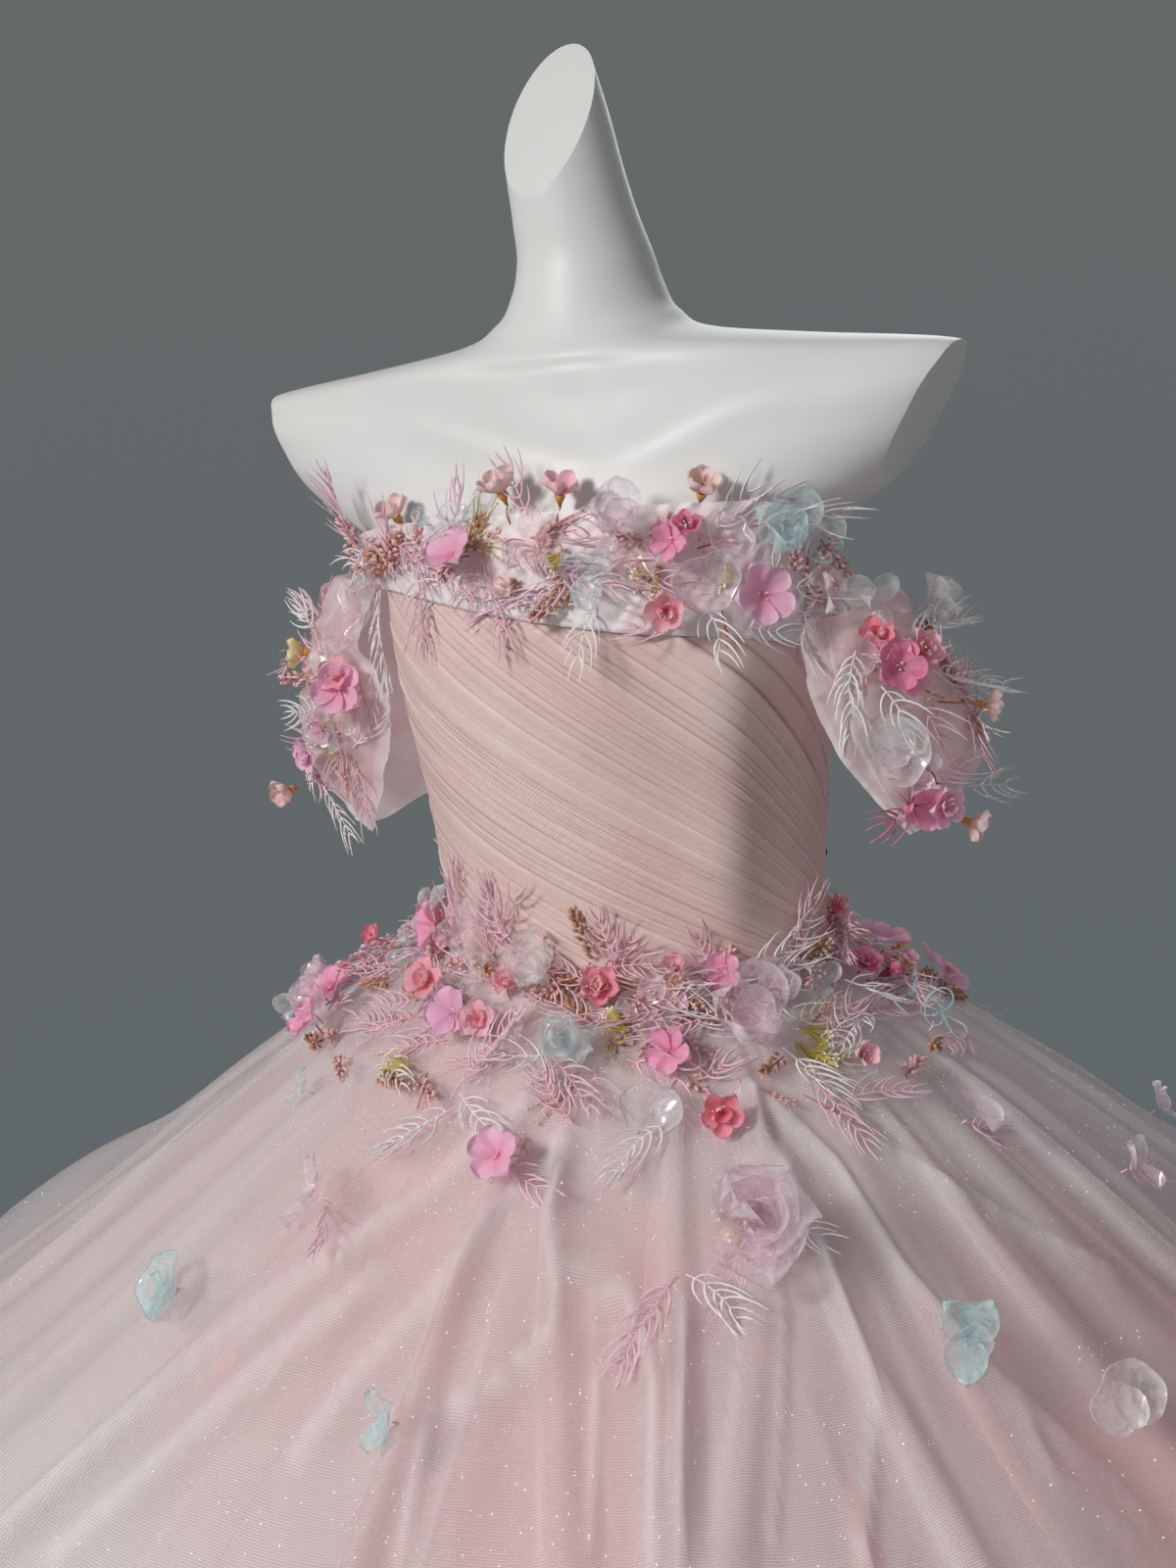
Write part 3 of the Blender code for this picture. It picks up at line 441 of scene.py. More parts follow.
def make_mesh(name, points, faces, uv=None, tint=None, finishes=(), face_finish=None):
    """A smooth mesh from arrays. uv has a row for each face corner, tint one for each point."""
    mesh = bpy.data.meshes.new(name)
    mesh.from_pydata(points.tolist(), [], [list(f) for f in faces])
    if uv is not None:
        layer = mesh.uv_layers.new(name="UVMap")
        layer.data.foreach_set("uv", np.asarray(uv, np.float32).ravel())
    if tint is not None:
        layer = mesh.color_attributes.new("tint", "FLOAT_COLOR", "POINT")
        layer.data.foreach_set("color", np.asarray(tint, np.float32).ravel())
    for finish in finishes:
        mesh.materials.append(finish)
    if face_finish is not None:
        mesh.polygons.foreach_set("material_index", np.asarray(face_finish, np.int32))
    mesh.shade_smooth()
    mesh.update()
    thing = linked(name, mesh)
    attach(thing, "root")
    return thing


def grid_faces(rows, columns, closed=False):
    """Quads of a grid and, for each corner, its row and column before any wrapping round."""
    last = columns if closed else columns - 1
    i, j = (part.ravel() for part in np.mgrid[:rows - 1, :last])
    corners = [(i, j), (i + 1, j), (i + 1, j + 1), (i, j + 1)]
    faces = np.stack([a * columns + b % columns for a, b in corners], 1)
    return faces, corners


def cloth(name, points, finish, closed=False, tint=None):
    """A single thin layer of cloth, with UVs in metres from its mean row and column lengths."""
    rows, columns = points.shape[:2]
    faces, corners = grid_faces(rows, columns, closed)
    whole = np.concatenate([points, points[:, :1]], 1) if closed else points
    u = running(np.linalg.norm(np.diff(whole, axis=1), axis=-1).mean(0))
    v = running(np.linalg.norm(np.diff(whole, axis=0), axis=-1).mean(1))
    uv = np.stack([np.stack([u[b], v[a]], 1) for a, b in corners], 1).reshape(-1, 2)
    flat_tint = None if tint is None else tint.reshape(-1, 4)
    return make_mesh(name, points.reshape(-1, 3), faces, uv, flat_tint, [finish])


# ---- materials
SOCKETS = {"rough": "Roughness", "sheen": "Sheen Weight", "sheen_rough": "Sheen Roughness",
           "specular": "Specular IOR Level", "coat": "Coat Weight",
           "coat_rough": "Coat Roughness", "metal": "Metallic", "bump": "Normal"}
GLITTER_SPACING = 0.0028


class Shader:
    """The node tree of a material or world, with a short call for each kind of node.

    Each socket is given a value, or the node or output that is linked to it.
    """

    def __init__(self, owner, output="ShaderNodeOutputMaterial"):
        owner.use_nodes = True
        self.owner = owner
        self.tree = owner.node_tree
        self.tree.nodes.clear()
        self.output = self.tree.nodes.new(output)

    def node(self, kind, sockets=None, **settings):
        made = self.tree.nodes.new(kind)
        for name, value in settings.items():
            setattr(made, name, value)
        for socket, value in (sockets or {}).items():
            if isinstance(value, bpy.types.Node):
                value = value.outputs[0]
            if isinstance(value, bpy.types.NodeSocket):
                self.tree.links.new(value, made.inputs[socket])
            else:
                made.inputs[socket].default_value = value
        return made

    def mix(self, factor, a, b, blend="MIX"):
        return self.node("ShaderNodeMix", {0: factor, 6: a, 7: b}, data_type="RGBA",
                         blend_type=blend).outputs[2]

    def math(self, operation, a, b=0.0, clamp=False):
        return self.node("ShaderNodeMath", {0: a, 1: b, 2: 0.0}, operation=operation,
                         use_clamp=clamp)

    def stretch(self, *values):
        """A value, taken from between two limits to between two others."""
        return self.node("ShaderNodeMapRange", dict(enumerate(values)))

    def place(self, system="Object"):
        return self.node("ShaderNodeTexCoord").outputs[system]

    def cloth_place(self, across=1.0, down=1.0):
        """The piece's UVs, in metres, times a scale for each direction."""
        return self.node("ShaderNodeMapping",
                         {"Scale": (across, down, 1.0), "Vector": self.place("UV")})

    def noise(self, scale, detail, at=None, **more):
        sockets = {"Scale": scale, "Detail": detail, "Vector": at or self.place(), **more}
        return self.node("ShaderNodeTexNoise", sockets).outputs["Fac"]

    def ribs(self, scale, distortion, detail, axis, at):
        sockets = {"Scale": scale, "Distortion": distortion, "Detail": detail, "Vector": at}
        return self.node("ShaderNodeTexWave", sockets, bands_direction=axis).outputs["Fac"]

    def tint(self, part="Color"):
        return self.node("ShaderNodeAttribute", attribute_name="tint").outputs[part]

    def split(self, colour):
        """The red, green and blue of a colour."""
        return self.node("ShaderNodeSeparateColor", {0: colour}).outputs

    def bump(self, height, strength, distance):
        return self.node("ShaderNodeBump",
                         {"Height": height, "Strength": strength, "Distance": distance})

    def principled(self, base, **values):
        sockets = {SOCKETS[name]: value for name, value in values.items()}
        return self.node("ShaderNodeBsdfPrincipled", {"Base Color": base, **sockets})

    def blend(self, share, first, second):
        return self.node("ShaderNodeMixShader", {0: share, 1: first, 2: second})

    def glowing(self, fabric, base, share):
        """Cloth that passes on a share of the light from behind it."""
        return self.blend(share, fabric, self.node("ShaderNodeBsdfTranslucent", {"Color": base}))

    def close(self, surface, cover=None):
        """Ends the tree with this surface, which is seen through where cover is below 1."""
        if cover is not None:
            surface = self.blend(cover, self.node("ShaderNodeBsdfTransparent"), surface)
        self.tree.links.new(surface.outputs[0], self.output.inputs["Surface"])
        return self.owner


def shader(name):
    return Shader(bpy.data.materials.new(name))


def tulle(name, colour, shade, cover, cover_low, cover_high, cell, glitter, glow):
    """A sheer net: how much it covers varies with its cells, and its glitter is painted as glints
    that glow.

    cover is the mean share of light the net stops, cover_low and cover_high are those of a
    hole and a thread, and cell is the size of the net's grain in metres.
    """
    s = shader(name)
    grain = s.node("ShaderNodeTexVoronoi", feature="DISTANCE_TO_EDGE", sockets={
        "Scale": 1.0 / cell, "Randomness": 0.35, "Vector": s.cloth_place()})
    thread = s.stretch(grain.outputs["Distance"], 0.02, 0.26, cover_high, cover_low)
    cloud = s.stretch(s.noise(2.6, 3.0), 0.36, 0.64, 0.62, 1.18)
    alpha = s.math("MULTIPLY", s.math("MULTIPLY", thread, cloud, clamp=True), cover, clamp=True)
    alpha = s.math("ADD", alpha, s.math("MULTIPLY", s.tint("Alpha"), 0.30), clamp=True)
    alpha = s.math("MULTIPLY", alpha, s.split(s.tint())[0], clamp=True)
    base = s.mix(s.stretch(s.noise(3.5, 3.0), 0.35, 0.65, 0, 1), colour, shade)
    fabric = s.principled(base, rough=0.75, sheen=0.35, sheen_rough=0.4, specular=0.15)
    surface = s.glowing(fabric, base, glow)
    if glitter:
        speck = s.node("ShaderNodeTexVoronoi", feature="F1", sockets={
            "Scale": 1.0 / GLITTER_SPACING, "Randomness": 1.0, "Vector": s.cloth_place()})
        dot = s.math("LESS_THAN", speck.outputs["Distance"], 0.22)
        chosen = s.math("GREATER_THAN", s.split(speck.outputs["Color"])[0], 1.0 - glitter)
        here = s.math("GREATER_THAN", s.noise(5.0, 2.0), 0.46)
        glint_spots = s.math("MULTIPLY", s.math("MULTIPLY", dot, chosen), here)
        # painted glints: glowing specks that stand in for glitter catching the light
        painted_glint = s.node("ShaderNodeEmission", {"Color": (1.0, 0.96, 0.97, 1.0), "Strength": 1.1})
        surface = s.blend(glint_spots, surface, painted_glint)
        alpha = s.math("MAXIMUM", alpha, glint_spots)
    return s.close(surface, alpha)


def organza(name, colour, painted_shine_colour, cover, glow):
    """Crisp sheer organza: a fine even weave with soft cloudy shine, painted as paler patches.

    The tint's alpha makes it denser, and its red falls to 0 at a folded white edge.
    """
    s = shader(name)
    across, along = (s.ribs(250.0, 1.5, 1.0, axis, s.cloth_place()) for axis in "XY")
    weave = s.math("MULTIPLY", across, along)
    # painted sheen: noise turns soft patches towards the paler colour
    base = s.mix(s.stretch(s.noise(22.0, 5.0), 0.3, 0.7, 0, 1), colour, painted_shine_colour)
    base = s.mix(s.split(s.tint())[0], (0.97, 0.93, 0.93, 1), base)
    dense = s.stretch(s.tint("Alpha"), 0, 1, cover, 0.97)
    alpha = s.math("ADD", dense, s.stretch(weave, 0, 1, -0.10, 0.10), clamp=True)
    fabric = s.principled(base, rough=0.45, sheen=0.4, sheen_rough=0.35,
                          bump=s.bump(weave, 0.15, 0.0006))
    return s.close(s.glowing(fabric, base, glow), alpha)


def pleat_cloth(name, colour, crease_shade, light):
    """Fine ribbed net over a lining, with painted shade and highlight. The tint's red is 0 in a
    crease, where shade is painted in, and its green is 1 on a ridge, where a highlight is painted
    on.
    """
    s = shader(name)
    ribs = s.ribs(230.0, 2.5, 2.0, "X", s.cloth_place(1, 0.35))
    threads = s.noise(900.0, 3.0, s.cloth_place(1.0, 0.16))
    grain = s.math("ADD", s.math("MULTIPLY", ribs, 0.45), s.math("MULTIPLY", threads, 0.75))
    parts = s.split(s.tint())
    base = s.mix(s.stretch(s.noise(9.0, 3.0), 0.35, 0.65, 0, 0.8), colour, light)
    base = s.mix(s.stretch(grain, 0.35, 0.85, 0.42, 0.0), base, (0.42, 0.28, 0.26, 1))
    # painted shade in the creases, and painted highlight in the light colour on the ridges
    base = s.mix(parts[1], s.mix(parts[0], crease_shade, base), light)
    return s.close(s.principled(base, rough=0.8, sheen=0.35, sheen_rough=0.45, specular=0.2,
                                bump=s.bump(grain, 0.35, 0.0005)))


def form_skin():
    """Smooth satin white, with a trace of unevenness from moulding."""
    s = shader("form_skin")
    cloud = s.noise(6.0, 4.0)
    base = s.mix(s.stretch(cloud, 0.3, 0.7, 0, 1), (0.80, 0.80, 0.785, 1), (0.76, 0.765, 0.755, 1))
    return s.close(s.principled(base, specular=0.4, rough=s.stretch(cloud, 0.3, 0.7, 0.38, 0.48),
                                bump=s.bump(s.noise(420.0, 2.0), 0.05, 0.0004)))


def stand_steel():
    """Steel with fine upright brushing."""
    s = shader("stand_steel")
    brushed = s.node("ShaderNodeMapping", {"Scale": (900, 900, 6), "Vector": s.place()})
    lines = s.noise(1.0, 3.0, brushed)
    return s.close(s.principled((0.62, 0.62, 0.63, 1), metal=1.0,
                                rough=s.stretch(lines, 0.3, 0.7, 0.26, 0.44),
                                bump=s.bump(lines, 0.1, 0.0002)))


def underskirt_cloth():
    """Layers of matt pink net, seen as one dense cloth."""
    s = shader("underskirt_net")
    cloud = s.stretch(s.noise(4.0, 3.0), 0.35, 0.65, 0, 1)
    grain = s.stretch(s.noise(620.0, 2.0, s.cloth_place()), 0.35, 0.65, 0.15, 0.0)
    base = s.mix(cloud, (0.86, 0.58, 0.575, 1), (0.83, 0.43, 0.45, 1))
    base = s.mix(grain, base, (0.45, 0.22, 0.25, 1))
    return s.close(s.principled(base, rough=0.85, sheen=0.3, specular=0.1))


def petal_cloth():
    """Soft cloth petals, coloured by the tint, with fine veins and a velvety sheen."""
    s = shader("petal_cloth")
    mottle = s.noise(260.0, 4.0)
    base = s.mix(s.stretch(mottle, 0.3, 0.7, 0.0, 0.30), s.tint(), (0.95, 0.80, 0.84, 1))
    velvet = s.principled(base, rough=0.55, sheen=0.3, sheen_rough=0.4, specular=0.3,
                          bump=s.bump(mottle, 0.25, 0.0004))
    return s.close(s.glowing(velvet, base, 0.28))


def clear_film():
    """Clear glossy petals. The tint's alpha says how much each place covers."""
    s = shader("clear_film")
    wrinkle = s.noise(95.0, 3.0, Distortion=1.2)
    film = s.principled(s.tint(), rough=0.16, specular=0.9, coat=0.6, coat_rough=0.08,
                        bump=s.bump(wrinkle, 0.5, 0.0012))
    streak = s.stretch(wrinkle, 0.42, 0.66, -0.06, 0.22)
    alpha = s.math("ADD", s.tint("Alpha"), streak, clamp=True)
    return s.close(s.glowing(film, s.tint(), 0.30), alpha)


def sprig_skin():
    """Preserved stems, needles and seeds, coloured by the tint, dry and slightly waxy."""
    s = shader("sprig_skin")
    speckle = s.noise(700.0, 3.0)
    dark = s.stretch(speckle, 0.35, 0.7, 0.0, 0.12)
    base = s.mix(dark, s.tint(), (0.45, 0.25, 0.20, 1), "MULTIPLY")
    return s.close(s.principled(base, rough=0.5, sheen=0.15, specular=0.35,
                                bump=s.bump(speckle, 0.2, 0.0003)))


def floor_finish():
    """A pale floor that fades out with distance, so that it shows no far edge."""
    s = shader("pale_floor")
    place = s.node("ShaderNodeNewGeometry").outputs["Position"]
    distance = s.node("ShaderNodeVectorMath", {0: place}, operation="LENGTH").outputs["Value"]
    seen = s.stretch(distance, 1.3, 2.3, 1.0, 0.0)
    return s.close(s.principled((0.52, 0.53, 0.53, 1), rough=0.8), seen)


# ---- the form and its stand
def chest_relief(x, z):
    """Height of the collarbones and hollows, by x and z on the form's front."""
    total = np.zeros_like(x)
    for x0, z0, x1, z1, width, height in CHEST_RELIEF:
        run = np.array([x1 - x0, z1 - z0])
        nearest = np.clip(((x - x0) * run[0] + (z - z0) * run[1]) / (run @ run), 0, 1)
        away = np.hypot(x - x0 - nearest * run[0], z - z0 - nearest * run[1])
        ends = 1 - 0.5 * np.abs(2 * nearest - 1) ** 2
        total += height * ends * soft(away, width)
    return total


def form_heights():
    """Ring heights at even steps along the form's outline."""
    fine = np.linspace(FORM[0, 0], FORM[-1, 0], 4000)
    length = running(np.hypot(np.diff(fine), np.diff(curve(fine, FORM, 1))))
    return np.interp(np.arange(0, length[-1], FORM_STEP), length, fine)


def cut_neck(mesh):
    rise_left, rise_back = NECK_CUT_RISES
    everything = mesh.verts[:] + mesh.edges[:] + mesh.faces[:]
    result = bmesh.ops.bisect_plane(
        mesh, geom=everything, dist=1e-6, plane_co=NECK_CUT_CENTRE,
        plane_no=(-rise_left, -rise_back, 1), clear_outer=True)
    rim = [part for part in result["geom_cut"] if isinstance(part, bmesh.types.BMEdge)]
    bmesh.ops.contextual_create(mesh, geom=rim)


def arm_cutter(top):
    """A wedge that cuts an arm away along a slant from this top down to the armpit."""
    (top_x, top_z), (low_x, low_z) = top, ARM_CUT_LOW
    side = 1 if top_x > 0 else -1
    slope = (abs(top_x) - low_x) / (top_z - low_z)
    far, over = ARM_CUTTER_REACH
    outline = ((low_x, low_z), (low_x + slope * (over - low_z), over), (far, over), (far, low_z))
    mesh = bmesh.new()
    near, back = ([mesh.verts.new((side * x, y, z)) for x, z in outline] for y in (-0.15, 0.15))
    mesh.faces.new(near)
    mesh.faces.new(back[::-1])
    for j, k in ((0, 1), (1, 2), (2, 3), (3, 0)):
        mesh.faces.new((near[k], near[j], back[j], back[k]))
    bmesh.ops.recalc_face_normals(mesh, faces=mesh.faces)
    return finished("arm_cutter", mesh)


def add_form():
    angles = (np.arange(FORM_POINTS) * 360 / FORM_POINTS)[None, :]
    rings = round_form(angles, form_heights()[:, None], 0.0)
    facing = np.clip(np.cos(np.radians(angles)) * 3, 0, 1)
    rings[..., 1] -= chest_relief(rings[..., 0], rings[..., 2]) * facing
    mesh = bmesh.new()
    points = [[mesh.verts.new(p) for p in ring] for ring in rings]
    for low, high in zip(points, points[1:]):
        for j in range(FORM_POINTS):
            k = (j + 1) % FORM_POINTS
            mesh.faces.new((low[j], low[k], high[k], high[j]))
    mesh.faces.new(points[0][::-1])
    mesh.faces.new(points[-1])
    cut_neck(mesh)
    bmesh.ops.recalc_face_normals(mesh, faces=mesh.faces)
    form = finished("dress_form", mesh)
    cutters = [arm_cutter(top) for top in ARM_CUT_TOPS]
    for cutter in cutters:
        trim = form.modifiers.new("arm_cut", "BOOLEAN")
        trim.object = cutter
        trim.operation = "DIFFERENCE"
    edge = form.modifiers.new("soft_edge", "BEVEL")
    edge.width = CUT_EDGE
    edge.segments = 3
    edge.limit_method = "ANGLE"
    edge.angle_limit = math.radians(38)
    bpy.context.view_layer.update()
    settled = form.evaluated_get(bpy.context.evaluated_depsgraph_get())
    form.data = bpy.data.meshes.new_from_object(settled)
    form.modifiers.clear()
    for cutter in cutters:
        bpy.data.objects.remove(cutter, do_unlink=True)
    form.data.shade_smooth()
    form.data.set_sharp_from_angle(angle=math.radians(60))
    form.data.materials.clear()
    form.data.materials.append(form_skin())
    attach(form, "root")
    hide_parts("form_torso")


def finish_stand():
    steel = stand_steel()
    for name in ("stand_base", "stand_pole"):
        frame["nodes"][name].data.materials[0] = steel


# ---- bodice
def pleat_profile(count, seed):
    """Rows of one pleated panel: place from 0 to 1, height, and shares of the shade painted into
    its creases and of the highlight painted on its ridges.

    Each pleat rises slowly and drops back sharply onto the next.
    """
    draw = np.random.default_rng(seed)
    number = np.arange(count)
    bunch = 0.55 + 0.45 * np.sin(number * 0.83 + seed) * np.sin(number * 0.31)
    widths = (draw.uniform(0.30, 1.5, count) ** 1.3) * (0.35 + bunch)
    edges = running(widths) / widths.sum()
    tall = draw.uniform(0.15, 1.15, count)[:, None]
    inner, rise, crease_shade, ridge_highlight = PLEAT_SHAPE
    crease_shade = np.tile(crease_shade, (count, 1))
    # each pleat may get a second fine line of painted crease shade
    crease_shade[:, 4] = np.where(draw.uniform(size=count) < 0.42, 0.35, 1.0)      # a second fine line
    place = (edges[:-1, None] + np.diff(edges)[:, None] * inner).ravel()
    # how dark the painted shade in each pleat's creases is
    dark = draw.uniform(0.2, 1.0, count)[:, None] ** 0.8
    return (place, (tall * rise).ravel(), (1 - (1 - crease_shade) * dark).ravel(),
            (ridge_highlight * draw.uniform(0.3, 1.0, count)[:, None]).ravel())


def pleated(name, angle, rise, profile, seed, finish):
    """A pleated panel from grids of angle and rise, with a row for each row of the profile."""
    _, height, crease_shade, ridge_highlight = (column[:, None] for column in profile)
    drift = waves(7, 3, 26, seed)
    along = np.linspace(0, 1, angle.shape[1])[None, :]
    row = np.linspace(0, 1, angle.shape[0])[:, None]
    swell = 0.78 + 0.30 * drift(along * 1.0, row * 30)
    fade = np.clip(1.15 - 0.55 * along, 0, 1)
    out = SKIN_GAP + WALL + PLEAT_RISE * height * np.clip(swell, 0.25, 1.3)
    tint = np.ones((*angle.shape, 4))
    # painted shade and highlight: the tint's red darkens the creases, more where the pleat swells,
    # and its green paints a highlight on the ridges
    crease_shade_strength = np.clip(swell + 0.15 + 0.35 * drift(along * 3.1 + 2, row * 47), 0.15, 1)
    tint[..., 0] = 1 - (1 - crease_shade) * crease_shade_strength * (0.65 + 0.35 * fade)
    tint[..., 1] = ridge_highlight * np.clip(swell, 0, 1)
    piece = cloth(name, on_bodice(angle, rise, out), finish, tint=tint)
    return piece


def front_lines(place, steps):
    """Angle and rise along pleat lines of the front, for places from 0 to 1 between the guides."""
    start_angle, start_rise, end_angle, end_rise = (
        np.interp(place, PLEAT_GUIDES[:, 4], PLEAT_GUIDES[:, k])[:, None] for k in range(4))
    along = np.linspace(0, 1, steps)[None, :]
    arch = PLEAT_BOW * 4 * along * (1 - along) * np.sqrt(place)[:, None]
    angle = start_angle + along * (end_angle - start_angle)
    rise = start_rise + along * (end_rise - start_rise)
    return angle, rise + np.minimum(arch, BOW_LIMIT * (1 - rise))


def add_bodice():
    # the second colour is shade painted into the pleats' creases; the third is a paler tone of the
    # cloth that also paints the highlight on the ridges
    finish = pleat_cloth("pleated_tulle", (0.840, 0.615, 0.570, 1), (0.34, 0.21, 0.19, 1),
                         (0.92, 0.74, 0.70, 1))
    profile = pleat_profile(FRONT_PLEATS, 3)
    front = pleated("bodice_front_tulle", *front_lines(profile[0], 110), profile, 5, finish)
    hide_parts("bodice_front")

    profile = pleat_profile(WRAP_PLEATS, 8)
    edge_angle, edge_rise = front_lines(np.array([0.999]), 60)
    top_angle, foot_angle = ((first + profile[0] * (SIDE_SEAM - first))[:, None]
                             for first in WRAP_EDGE)
    foot_rise = np.interp(foot_angle, edge_angle[0], edge_rise[0]) - 0.05
    down = np.linspace(0, 1, 30)[None, :]
    angle = top_angle + down * (foot_angle - top_angle)
    wrap = pleated("bodice_wrap_tulle", angle, 1 + down * (foot_rise - 1), profile, 9, finish)
    turn = math.radians(WRAP_MIDDLE)
    inset = Vector((-WRAP_INSET * math.sin(turn), WRAP_INSET * math.cos(turn), 0))
    wrap.data.transform(Matrix.Translation(inset))
    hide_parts("bodice_wrap_panel")

    for side, name in ((-1, "right"), (1, "left")):
        profile = pleat_profile(BACK_PLEATS, 20 + side)
        level = profile[0][:, None]
        across = np.linspace(0, 1, 60)[None, :]
        angle = SIDE_SEAM + across * (180 - BACK_SEAM_GAP - SIDE_SEAM) + 0 * level
        back_rise = level - BACK_SAG * level * (1 - level) * across
        piece = pleated("bodice_back_tulle_" + name, side * angle, back_rise, profile, 30, finish)
        if side < 0:
            piece.data.flip_normals()
        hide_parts("bodice_back_" + name)


# ---- band and sleeves
def add_bands(finish):
    for number, (name, first, last, columns) in enumerate(BANDS):
        angle = np.linspace(first, last, columns)[None, :]
        turn = np.radians(angle)
        inner = np.linspace(1, 0, 14)[1:]
        outer = np.linspace(0, 1, 26)
        across = np.concatenate([inner, outer])[:, None]
        is_outer = (np.arange(len(across)) >= len(inner))[:, None]
        coarse = waves(9, 20, 120, 40 + number)(turn, across * 1.2)
        fine = waves(9, 100, 330, 50 + number)(turn, across)
        ruck = (BAND_RUCKS[0] * coarse + BAND_RUCKS[1] * fine) * (0.35 + 0.65 * across)
        lift = WALL * is_outer + BAND_LIFT
        points = on_band(angle, across, lift + np.clip(ruck, -0.0018, 0.0028))
        edge = soft(across, 0.16)
        tint = np.ones((*points.shape[:2], 4))
        tint[..., 3] = np.clip(0.55 + 0.45 * edge, 0, 1)
        tint[..., 0] = 1 - edge * is_outer
        piece = cloth(name.replace("band", "organza"), points, finish, tint=tint)
        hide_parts(name)
        ("bodice_front_tulle" if "front" in name
                           else "bodice_back_tulle_" + name.split("_")[-1])


def add_sleeves(finish):
    rows, columns = 60, 120
    for name, sections, side in SLEEVES:
        down, along = np.meshgrid(np.linspace(0, 1, rows), np.linspace(0, 1, columns),
                                  indexing="ij")
        points = on_sleeve(seated(sections, side), side, along, down)
        if side < 0:
            depth, tall, wide, reach = SLEEVE_SWING
            swing = np.exp(-((down - depth) / tall) ** 2 - (along / wide) ** 2)
            points[..., 0] -= reach * swing
        hold = np.clip(6 * down, 0, 1)
        coarse = waves(8, 6, 26, 60 + side)(along, down * 8)
        fine = waves(8, 20, 70, 70 + side)(along, down * 20)
        place, wander, width, rise = SLEEVE_TUCK
        tuck = soft(along - place - wander * np.sin(4 * down + 0.5), width)
        ruck = (SLEEVE_RUCKS[0] * coarse + SLEEVE_RUCKS[1] * fine) * hold + rise * tuck * hold
        points = points + normals(points, side) * (WALL / 2 + ruck)[..., None]
        edge = np.clip(np.minimum(np.minimum(along, 1 - along) / 0.035, (1 - down) / 0.06), 0, 1)
        tint = np.ones((rows, columns, 4))
        dense = np.maximum(np.clip(0.45 + 0.50 * (edge < 0.9), 0, 1),
                           np.clip(5 * along - 2.2, 0, 0.9))
        tint[..., 3] = np.maximum(dense, 0.8 * tuck)
        tint[..., 0] = edge * (1 - 0.7 * tuck)
        piece = cloth("sleeve_organza_" + name, points, finish, tint=tint)
        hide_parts("sleeve_" + name)


# ---- skirts
def all_folds():
    """Angle, depth share, drift and ridge width of every fold of the outer skirt."""
    first, last = FRONT_FOLDS[0, 0], FRONT_FOLDS[-1, 0]
    step = (first + 360 - last) / (OTHER_FOLDS + 1)
    count = np.arange(1, OTHER_FOLDS + 1)
    others = np.stack([
        last + step * (count + OTHER_PLACE_WANDER * np.sin(2.4 * count)),
        OTHER_DEPTH + OTHER_DEPTH_WANDER * np.sin(1.7 * count),
        45 * np.sin(3.1 * count),
        0.22 + 0.06 * np.sin(4.3 * count)], 1)
    others[-3:, 1] *= 0.6
    return np.concatenate([FRONT_FOLDS, others])


def fold_heights(grid, folds, start, seed):
    """Folds as narrow soft ridges with wide troughs, from -FOLD_TROUGH to about 1."""
    angle, drop = grid
    draw = np.random.default_rng(seed)
    total = np.full(np.broadcast(angle, drop).shape, -FOLD_TROUGH)
    for place, share, drift, width in folds:
        bend = drift * DRIFT_SPAN * np.tanh((drop - DRIFT_FROM) / DRIFT_SPAN)
        sway = 1.4 * np.sin(drop * draw.uniform(5, 11) + draw.uniform(0, 6.3))
        sway = sway * np.clip(drop, 0, 0.4)
        away = half_turn(angle - place - bend - sway)
        begins = np.clip((drop - start * draw.uniform(0, 1)) / 0.05, 0, 1)
        total = total + begins * share * (1 + FOLD_TROUGH) * soft(away, width * FOLD_SPACING)
    return total


def small_folds(count, seed):
    """Extra fine folds between the main ones: angle, share, drift, width."""
    draw = np.random.default_rng(seed)
    place = np.arange(count) * 360 / count + draw.uniform(-2, 2, count)
    return np.stack([place, draw.uniform(0.06, 0.22, count), draw.uniform(-60, 60, count),
                     draw.uniform(0.06, 0.16, count)], 1)


def seen_creases(points):
    """Rise and strength of the seen creases at each point that faces the camera."""
    away = points - np.array(CAMERA_AT)
    depth = away @ np.array(CAMERA_FORWARD)
    x = PICTURE[0] / 2 + FOCAL_PIXELS * (away @ np.array(CAMERA_RIGHT)) / depth
    y = PICTURE[1] / 2 - FOCAL_PIXELS * (away @ np.array(CAMERA_UP)) / depth
    facing = -(away[..., 0] * points[..., 0] + away[..., 1] * points[..., 1])
    seen = (facing > 0) & (depth > 0)
    total, strength = 0.0, 0.0
    for course, width, rise in SEEN_CREASES:
        nearest = np.full(x.shape, np.inf)
        for (x0, y0), (x1, y1) in zip(course, course[1:]):
            run_x, run_y = x1 - x0, y1 - y0
            length = run_x ** 2 + run_y ** 2
            share = np.clip(((x - x0) * run_x + (y - y0) * run_y) / length, 0, 1)
            gap = np.hypot(x - x0 - share * run_x, y - y0 - share * run_y)
            nearest = np.minimum(nearest, gap)
        near = soft(nearest, width) * seen
        total = total + rise * near
        strength = np.maximum(strength, near * (width < SHARP_CREASE))
    return total, strength


def skirt_grid(columns, rows, reach):
    """Angles and drops of a skirt layer's points, which lie closer near the waist."""
    angle = (np.arange(columns) * 360 / columns)[None, :]
    return angle, (SKIRT_LENGTH * reach * np.linspace(0, 1, rows) ** 1.45)[:, None]


